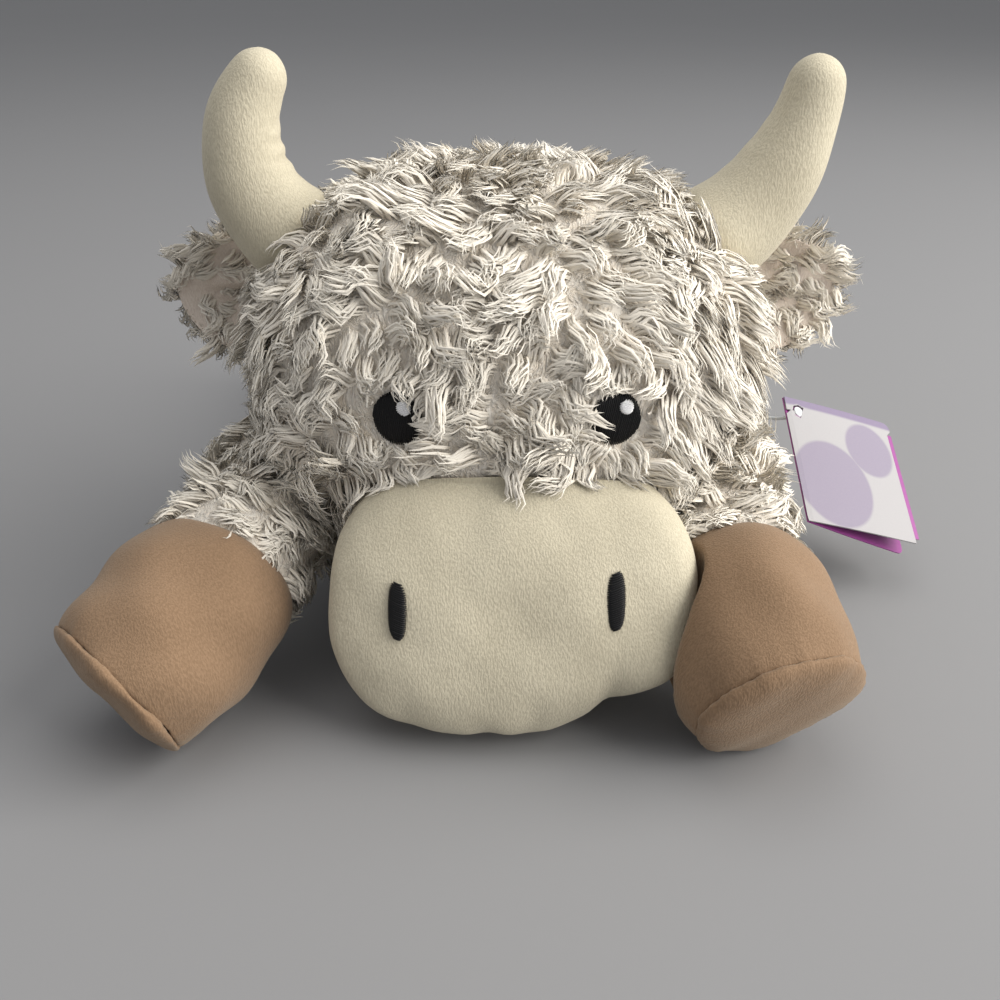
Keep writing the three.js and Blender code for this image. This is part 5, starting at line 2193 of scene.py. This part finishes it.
@dataclass
class SwingTag:
    """A folded card on a nylon pin at the left shoulder."""

    width: float = 52.0
    height: float = 58.0
    card: float = 0.55
    corner: float = 3.0
    ajar: float = 9.0
    inset: float = 6.0
    place: Triple = (111.7, -7.4, 64.5)
    across: Triple = (0.852, 0.275, -0.446)
    down: Triple = (0.018, -0.867, -0.498)
    pin_radius: float = 0.8
    pin_seat: tuple[float, float] = (82.0, 22.0)
    pin_sink: float = 5.0
    cover_bow: float = 0.5
    cover_hole: float = 6.6
    back_bow: float = -0.3
    back_hole: float = 3.4

    @cached_property
    def axes(self) -> tuple[Array, Array, Array, Array]:
        """The fold's top corner and the card's directions across, up and out."""
        across = unit(np.array(self.across))
        out = unit(np.cross(np.array(self.down), across))
        return np.array(self.place), across, np.cross(out, across), out

    def put(self, spots: Array) -> Array:
        """Places on the card, across, up and out, taken to the toy."""
        corner, across, upward, out = self.axes
        return corner + spots[:, :1] * across + spots[:, 1:2] * upward + spots[:, 2:] * out

    def leaf(
        self, name: str, open_by: float, bow: float, hole: float, outside_up: bool
    ) -> Piece:
        """One leaf of the card.

        Args:
            name: The piece's name.
            open_by: How far it stands open from the fold.
            bow: How far its middle stands out.
            hole: The hole's diameter.
            outside_up: Whether its printed face is the one in front.

        Returns:
            The piece.
        """
        bpy.ops.object.select_all(action="DESELECT")
        bpy.ops.mesh.primitive_grid_add(x_subdivisions=26, y_subdivisions=28, size=1.0)
        leaf = new_piece(name)
        spots = places_of(leaf) * MM + 0.5
        flat = np.zeros((len(spots), 3))
        flat[:, 0], flat[:, 1] = spots[:, 0] * self.width, -spots[:, 1] * self.height
        middle = np.array((self.inset, -self.inset, 0.0))
        away = flat - middle
        gap = np.linalg.norm(away, axis=1)
        near = gap < hole * 0.9
        flat[near] = middle + unit(away[near]) * np.maximum(gap[near], hole / 2.0)[:, None]
        x = self.width - self.corner
        for y, beyond in ((-self.corner, np.maximum), (self.corner - self.height, np.minimum)):
            past = np.column_stack((np.maximum(flat[:, 0] - x, 0.0), beyond(flat[:, 1] - y, 0.0)))
            far = np.linalg.norm(past, axis=1)
            out = (far > self.corner) & (past != 0.0).all(axis=1)
            flat[out, :2] = np.array((x, y)) + past[out] / far[out, None] * self.corner
        with editing(leaf, "DESELECT") as edited:
            for face in edited.faces:
                face.select_set(all(gap[v.index] < hole * 0.52 for v in face.verts))
            bpy.ops.mesh.delete(type="FACE")
        turn = math.radians(open_by)
        lift = bow * np.sin(math.pi * spots[:, 0]) + 0.6 * spots[:, 0] * (spots[:, 1] - 0.5)
        x = flat[:, 0].copy()
        flat[:, 0] = x * math.cos(turn) - lift * math.sin(turn)
        flat[:, 2] = x * math.sin(turn) + lift * math.cos(turn)
        layer = leaf.data.uv_layers.active or leaf.data.uv_layers.new()
        layer.name = "card"
        corners = np.empty(len(leaf.data.loops), np.int32)
        leaf.data.loops.foreach_get("vertex_index", corners)
        layer.data.foreach_set("uv", spots[corners, :2].astype(np.float32).ravel())
        set_places(leaf, self.put(flat + np.array((0.0, 0.0, 0.4 if outside_up else -0.4))))
        for finish in (TAG_FACE, TAG_INSIDE) if outside_up else (TAG_INSIDE, TAG_FACE):
            leaf.data.materials.append(finish.material())
        upward = (normals_of(leaf).mean(axis=0) @ self.axes[3]) > 0.0
        if not upward:
            with editing(leaf):
                bpy.ops.mesh.flip_normals()
        sides = {"material_offset": 1, "material_offset_rim": 0}
        modify(leaf, "SOLIDIFY", thickness=self.card * MM, offset=0.0, **sides)
        return leaf

    def build(self) -> None:
        """Makes the two leaves and the pin."""
        cover = (self.ajar, self.cover_bow, self.cover_hole, True)
        back = (0.0, self.back_bow, self.back_hole, False)
        for name, body, node, form in (
            ("tag_cover_card", "tag_cover", "tag_front_leaf", cover),
            ("tag_back_card", "tag", "tag_back_leaf", back),
        ):
            leaf = self.leaf(name, *form)
            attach(leaf, body)
            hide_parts(node)
            LOG.info("%s on %s", name, body)
        self.pin()

    def pin(self) -> None:
        """A bent nylon pin with a flat knob."""
        seat, out = TRUNK.seat(*self.pin_seat, Side.LEFT)
        hole = self.put(np.array(((self.inset, -self.inset, 0.0),)))[0]
        front = self.axes[3]
        bend = Bend(seat - out * self.pin_sink, hole - front * 14.0, hole + front * 0.6)
        rings, thin, end = [], self.pin_radius, bend.at(1.0)
        for share in np.linspace(0.0, 1.0, 15):
            rings.append(ring(bend.at(share), bend.ahead(share), UP, thin, thin, 12))
        for forward, radius in ((0.05, 2.4), (0.6, 2.7), (1.1, 2.4), (1.3, 1.2)):
            rings.append(ring(end + front * forward, front, UP, radius, radius, 12))
        pin = refine(drawn_skin("tag_pin_nylon", rings), 1)
        finish_piece(pin, "trunk", NYLON, "tag_pin")


@dataclass
class CareLabel:
    """A satin ribbon folded double, sewn into the trunk's right side."""

    width: float = 18.0
    length: float = 26.0
    gap: float = 1.2
    thickness: float = 0.35
    spread: float = 112.0
    tucked: float = 4.0
    sag: float = 0.010
    ripple: float = 0.5

    def build(self) -> None:
        """Bends a strip out and back and lets it hang."""
        seat, out = TRUNK.seat(self.spread, 0.0, Side.RIGHT)
        tangent = unit(np.cross(UP, out))
        upright = np.cross(out, tangent)
        bpy.ops.object.select_all(action="DESELECT")
        bpy.ops.mesh.primitive_grid_add(x_subdivisions=48, y_subdivisions=12, size=1.0)
        label = new_piece("care_label_ribbon")
        spots = places_of(label) * MM
        run = (spots[:, 0] + 0.5) * 2.0 * self.length
        reach = np.minimum(run, 2.0 * self.length - run)
        sheet = np.where(run < self.length, 1.0, -1.0) * self.gap / 2.0
        sheet *= np.sqrt(np.clip((self.length - reach) / 1.2, 0.0, 1.0))
        droop = -self.sag * reach**2
        wave = self.ripple * np.sin(spots[:, 1] * 6.0 + 0.6) * reach / self.length
        points = seat + np.outer(reach - self.tucked, out) + np.outer(sheet + droop + wave, upright)
        set_places(label, points + np.outer(spots[:, 1] * self.width, tangent))
        modify(label, "SOLIDIFY", thickness=self.thickness * MM, offset=0.0)
        finish_piece(tidy(label), "trunk", SATIN, "care_label")


@dataclass
class Head:
    """The shaggy head with everything sewn on it."""

    horns: list[Horn] = field(
        default_factory=lambda: [Horn(Side.LEFT, 52.0, 6.0), Horn(Side.RIGHT, 53.0, -38.0)]
    )
    ears: list[Ear] = field(default_factory=lambda: [Ear(side) for side in Side])
    eyes: list[Eye] = field(default_factory=lambda: [Eye(side) for side in Side])
    muzzle: Muzzle = field(default_factory=Muzzle)
    pile: Pile = Pile(gap=5.4, wisps=32, width=0.9)
    tousle: Sway = Sway(38.0, 21, 0.75)
    crown: float = 132.0  # the coat's parts: above this height, ahead of the face, behind the nape
    face: float = -92.0
    nape: float = -52.0
    parting: Triple = (0.0, -40.0, 0.0)
    full_cheek: Triple = (-60.0, -102.0, 68.0)
    cheek_reach: float = 21.0
    cheek_length: float = 0.75
    eye_trim: float = 0.62

    def flow(self, points: Array) -> Array:
        """Out from the crown and down over the face and cheeks.

        Args:
            points: One row each.

        Returns:
            One direction for each point.
        """
        away = (points - np.array(self.parting)) * np.array((1.0, 1.0, 0.0))
        return unit(away) * 0.7 - UP * 0.8 + self.tousle.at(points)

    def bare(self, points: Array) -> Array:
        """What the muzzle, the eyes, the horns, the ears or the trunk covers.

        Args:
            points: One row each.

        Returns:
            A truth for each point.
        """
        covered = (MUZZLE.fill(points, 0.5) < 1.0) | (TRUNK.fill(points, -3.0) < 1.0)
        for eye in self.eyes:
            covered |= (eye.over(points) < 1.0) & (eye.local(points)[:, 2] > -eye.depth)
        for horn in self.horns:
            covered |= horn.fill(points) < 0.96
        return covered

    def trim(self, points: Array) -> Array:
        """Shorter beside the eyes, longer on the right cheek and over the muzzle.

        Args:
            points: One row each.

        Returns:
            One factor for each point.
        """
        length = np.ones(len(points))
        for eye in self.eyes:
            length *= lerp(self.eye_trim, 1.0, smoothstep(eye.over(points), 1.1, 2.2))
        away = (points - np.array(self.full_cheek)) / self.cheek_reach
        return length * (1.0 + self.cheek_length * np.exp(-(away**2).sum(axis=1)))

    def calm(self, points: Array) -> Array:
        """The left cheek lies smoother than the rest."""
        return 1.0 - 0.5 * smoothstep(points[:, 0], 10.0, 62.0)

    def around_eyes(self, batch: Fibres) -> Fibres:
        """Drops the fibres that would hide an eye, with a ragged rim.

        Args:
            batch: The wisps.

        Returns:
            Those that stay.
        """
        rng = np.random.default_rng(33)
        keep = np.ones(len(batch.tone), bool)
        for eye in self.eyes:
            local = eye.local(batch.points.reshape(-1, 3)).reshape(batch.points.shape)
            near = np.hypot(local[..., 0], local[..., 1])
            near[local[..., 2] < -eye.depth] = np.inf
            limit = rng.uniform(0.8, 1.12, len(keep))[:, None]
            keep &= (near > limit).all(axis=1)
        return batch.where(keep)

    def span(self, front: float, rear: float) -> Mask:
        """The coat below the crown, from a front to a rear."""
        return lambda p: (p[:, 2] <= self.crown) & (p[:, 1] >= front) & (p[:, 1] < rear)

    def build(self) -> None:
        """Shapes the head, sews everything on and grows the coat."""
        cloth = round_ball("head_cloth", 6)
        set_places(cloth, HEAD.place(unit(places_of(cloth)), BACKING))
        cutter = round_ball("chest_cutter", 5)
        set_places(cutter, TRUNK.place(unit(places_of(cutter)), 1.0))
        cut_by(cloth, cutter)
        coat = Coat(
            self.pile, self.flow, self.bare, 20, self.trim, self.calm, shoves=(MUZZLE.shove(1.0),)
        )
        grown = self.around_eyes(coat.grow(cloth))
        finish_piece(cloth, "head", BACKING_CLOTH, "head_skin", "head_stuffing", fill=0.85)
        parts = {"head_coat_face": self.span(-math.inf, self.face)}
        places = {
            "crown": lambda p: p[:, 2] > self.crown,
            "cheek": self.span(self.face, self.nape),
            "nape": self.span(self.nape, math.inf),
        }
        for side in Side:
            for place, mask in places.items():
                parts[f"head_coat_{place}_{side.word}"] = half(mask, side)
        lay_coat(grown, "head", parts)
        self.muzzle.build()
        for piece in (*self.eyes, *self.horns, *self.ears):
            piece.build()


@dataclass
class Trunk:
    """The shaggy trunk with its belly panel."""

    legs: list[Leg]
    panel: float = 3.0
    panel_share: float = 0.965
    rump: float = 40.0  # where the flanks end
    pile: Pile = Pile(gap=6.1, length=14.6, wisps=27, width=1.02)
    tousle: Sway = Sway(44.0, 81, 0.8)

    def bare(self, points: Array) -> Array:
        """What the head, the legs or the table covers.

        Args:
            points: One row each.

        Returns:
            A truth for each point.
        """
        covered = (HEAD.fill(points, -9.0) < 1.0) | (points[:, 2] < 6.0)
        for leg in self.legs:
            covered |= leg.fill(points, 7.0) < 1.0
        return covered

    def flow(self, points: Array) -> Array:
        """Back along the trunk and down its sides."""
        return BACK * 0.8 - UP * 0.7 + self.tousle.at(points)

    def build(self) -> None:
        """Shapes the trunk, lays the belly panel and grows the coat."""
        cloth = round_ball("trunk_cloth", 6)
        points = TRUNK.place(unit(places_of(cloth)), BACKING)
        set_places(cloth, above(points, self.panel + 0.3))
        tidy(cloth)
        grown = Coat(self.pile, self.flow, self.bare, 80).grow(cloth)
        nodes = ("trunk_skin", "trunk_stuffing", "bean_pouch")
        finish_piece(cloth, "trunk", BACKING_CLOTH, *nodes, fill=0.8)
        ends = {"flank": lambda p: p[:, 1] <= self.rump, "rump": lambda p: p[:, 1] > self.rump}
        quarters = {
            f"trunk_coat_{end}_{side.word}": half(mask, side)
            for end, mask in ends.items()
            for side in Side
        }
        lay_coat(grown, "trunk", quarters)
        self.build_panel()

    def build_panel(self) -> None:
        """A flat oval of cloth with a soft rim."""
        height = (TRUNK.centre[2] - self.panel - 0.3) / TRUNK.semi[2]
        share = math.sqrt(1.0 - height * height)
        angle = np.linspace(0.0, FULL_TURN, 64, endpoint=False)
        deep = np.where(np.sin(angle) > 0.0, TRUNK.rear, TRUNK.semi[1]) * share
        outline = np.column_stack(
            (TRUNK.semi[0] * share * np.cos(angle), deep * np.sin(angle), np.zeros(len(angle)))
        )
        rings = []
        under = ((0.2, 0.0), (0.6, 0.0), (0.93, 0.0), (0.985, 0.5), (1.0, 1.5), (0.985, 2.5))
        for shrink, lift in (*under, (0.93, self.panel), (0.3, self.panel)):
            share = self.panel_share * shrink
            rings.append(outline * np.array((share, share, 1.0)) + UP * lift)
        panel = refine(drawn_skin("belly_cloth", rings), 1)
        finish_piece(panel, "trunk", BACKING_CLOTH, "belly_panel", fill=0.2)


# Studio


@dataclass(frozen=True)
class SoftBox:
    """A square lamp aimed at the toy, in metres."""

    name: str
    place: Triple
    size: float
    watts: float
    tint: Triple = (1.0, 1.0, 1.0)
    aim: Triple = (0.0, -0.03, 0.06)

    def build(self) -> None:
        """Hangs the lamp."""
        bpy.ops.object.light_add(type="AREA", location=self.place)
        lamp = bpy.context.object
        lamp.name = self.name
        lamp.data.size, lamp.data.energy, lamp.data.color = self.size, self.watts, self.tint
        aim = Vector(self.aim) - Vector(self.place)
        lamp.rotation_euler = aim.to_track_quat("-Z", "Y").to_euler()


@dataclass
class Studio:
    """A plain pale floor, soft light and the camera."""

    camera_place: Triple = (-0.002, -0.399, 0.226)
    pitch: float = 28.0
    lens: float = 37.8
    boxes: tuple[SoftBox, ...] = (
        SoftBox("window", (1.45, -0.45, 0.9), 1.7, 53.0, (1.0, 0.975, 0.93)),
        SoftBox("overhead", (0.0, 0.1, 1.7), 1.4, 10.0, (1.0, 0.985, 0.96)),
    )
    ambient: float = 0.47

    def build(self) -> None:
        """Sets the stage."""
        bpy.ops.mesh.primitive_plane_add(size=14.0)
        floor = bpy.context.object
        floor.name = "floor"
        FLOOR_PAPER.dress(floor)
        for box in self.boxes:
            box.build()
        world = bpy.data.worlds.new("room")
        world.use_nodes = True
        sky = world.node_tree.nodes["Background"]
        sky.inputs["Color"].default_value = (0.97, 0.98, 1.0, 1.0)
        sky.inputs["Strength"].default_value = self.ambient
        scene = bpy.context.scene
        scene.world = world
        scene.view_settings.view_transform = "Standard"
        bpy.ops.object.camera_add(
            location=self.camera_place, rotation=(math.radians(90.0 - self.pitch), 0.0, 0.0)
        )
        camera = bpy.context.object
        camera.name = "camera"
        camera.data.lens, camera.data.sensor_width = self.lens, 36.0
        camera.data.clip_start = 0.01
        scene.camera = camera


def corners(bounds: tuple[Vector, Vector]) -> list[list[float]]:
    """A box's two corners as plain lists."""
    return [list(corner) for corner in bounds]


def main() -> None:
    """Builds the toy from its trunk out and sets it in the studio."""
    logging.basicConfig(level=logging.INFO, format="%(name)s: %(message)s")
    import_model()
    legs = [
        Leg("foreleg", Side.LEFT, 58.0, 118.0, 3.5, 18.0, 24.0),
        Leg("foreleg", Side.RIGHT, 58.0, 118.0, 22.0, 46.0, 24.0),
        Leg("hindleg", Side.LEFT, 142.0, 84.0, 160.0, 152.0, 22.0),
        Leg("hindleg", Side.RIGHT, 142.0, 84.0, 160.0, 152.0, 22.0),
    ]
    for part in (Studio(), Trunk(legs), Head(), *legs, Tail(), SwingTag(), CareLabel()):
        part.build()


if __name__ == "__main__":
    main()
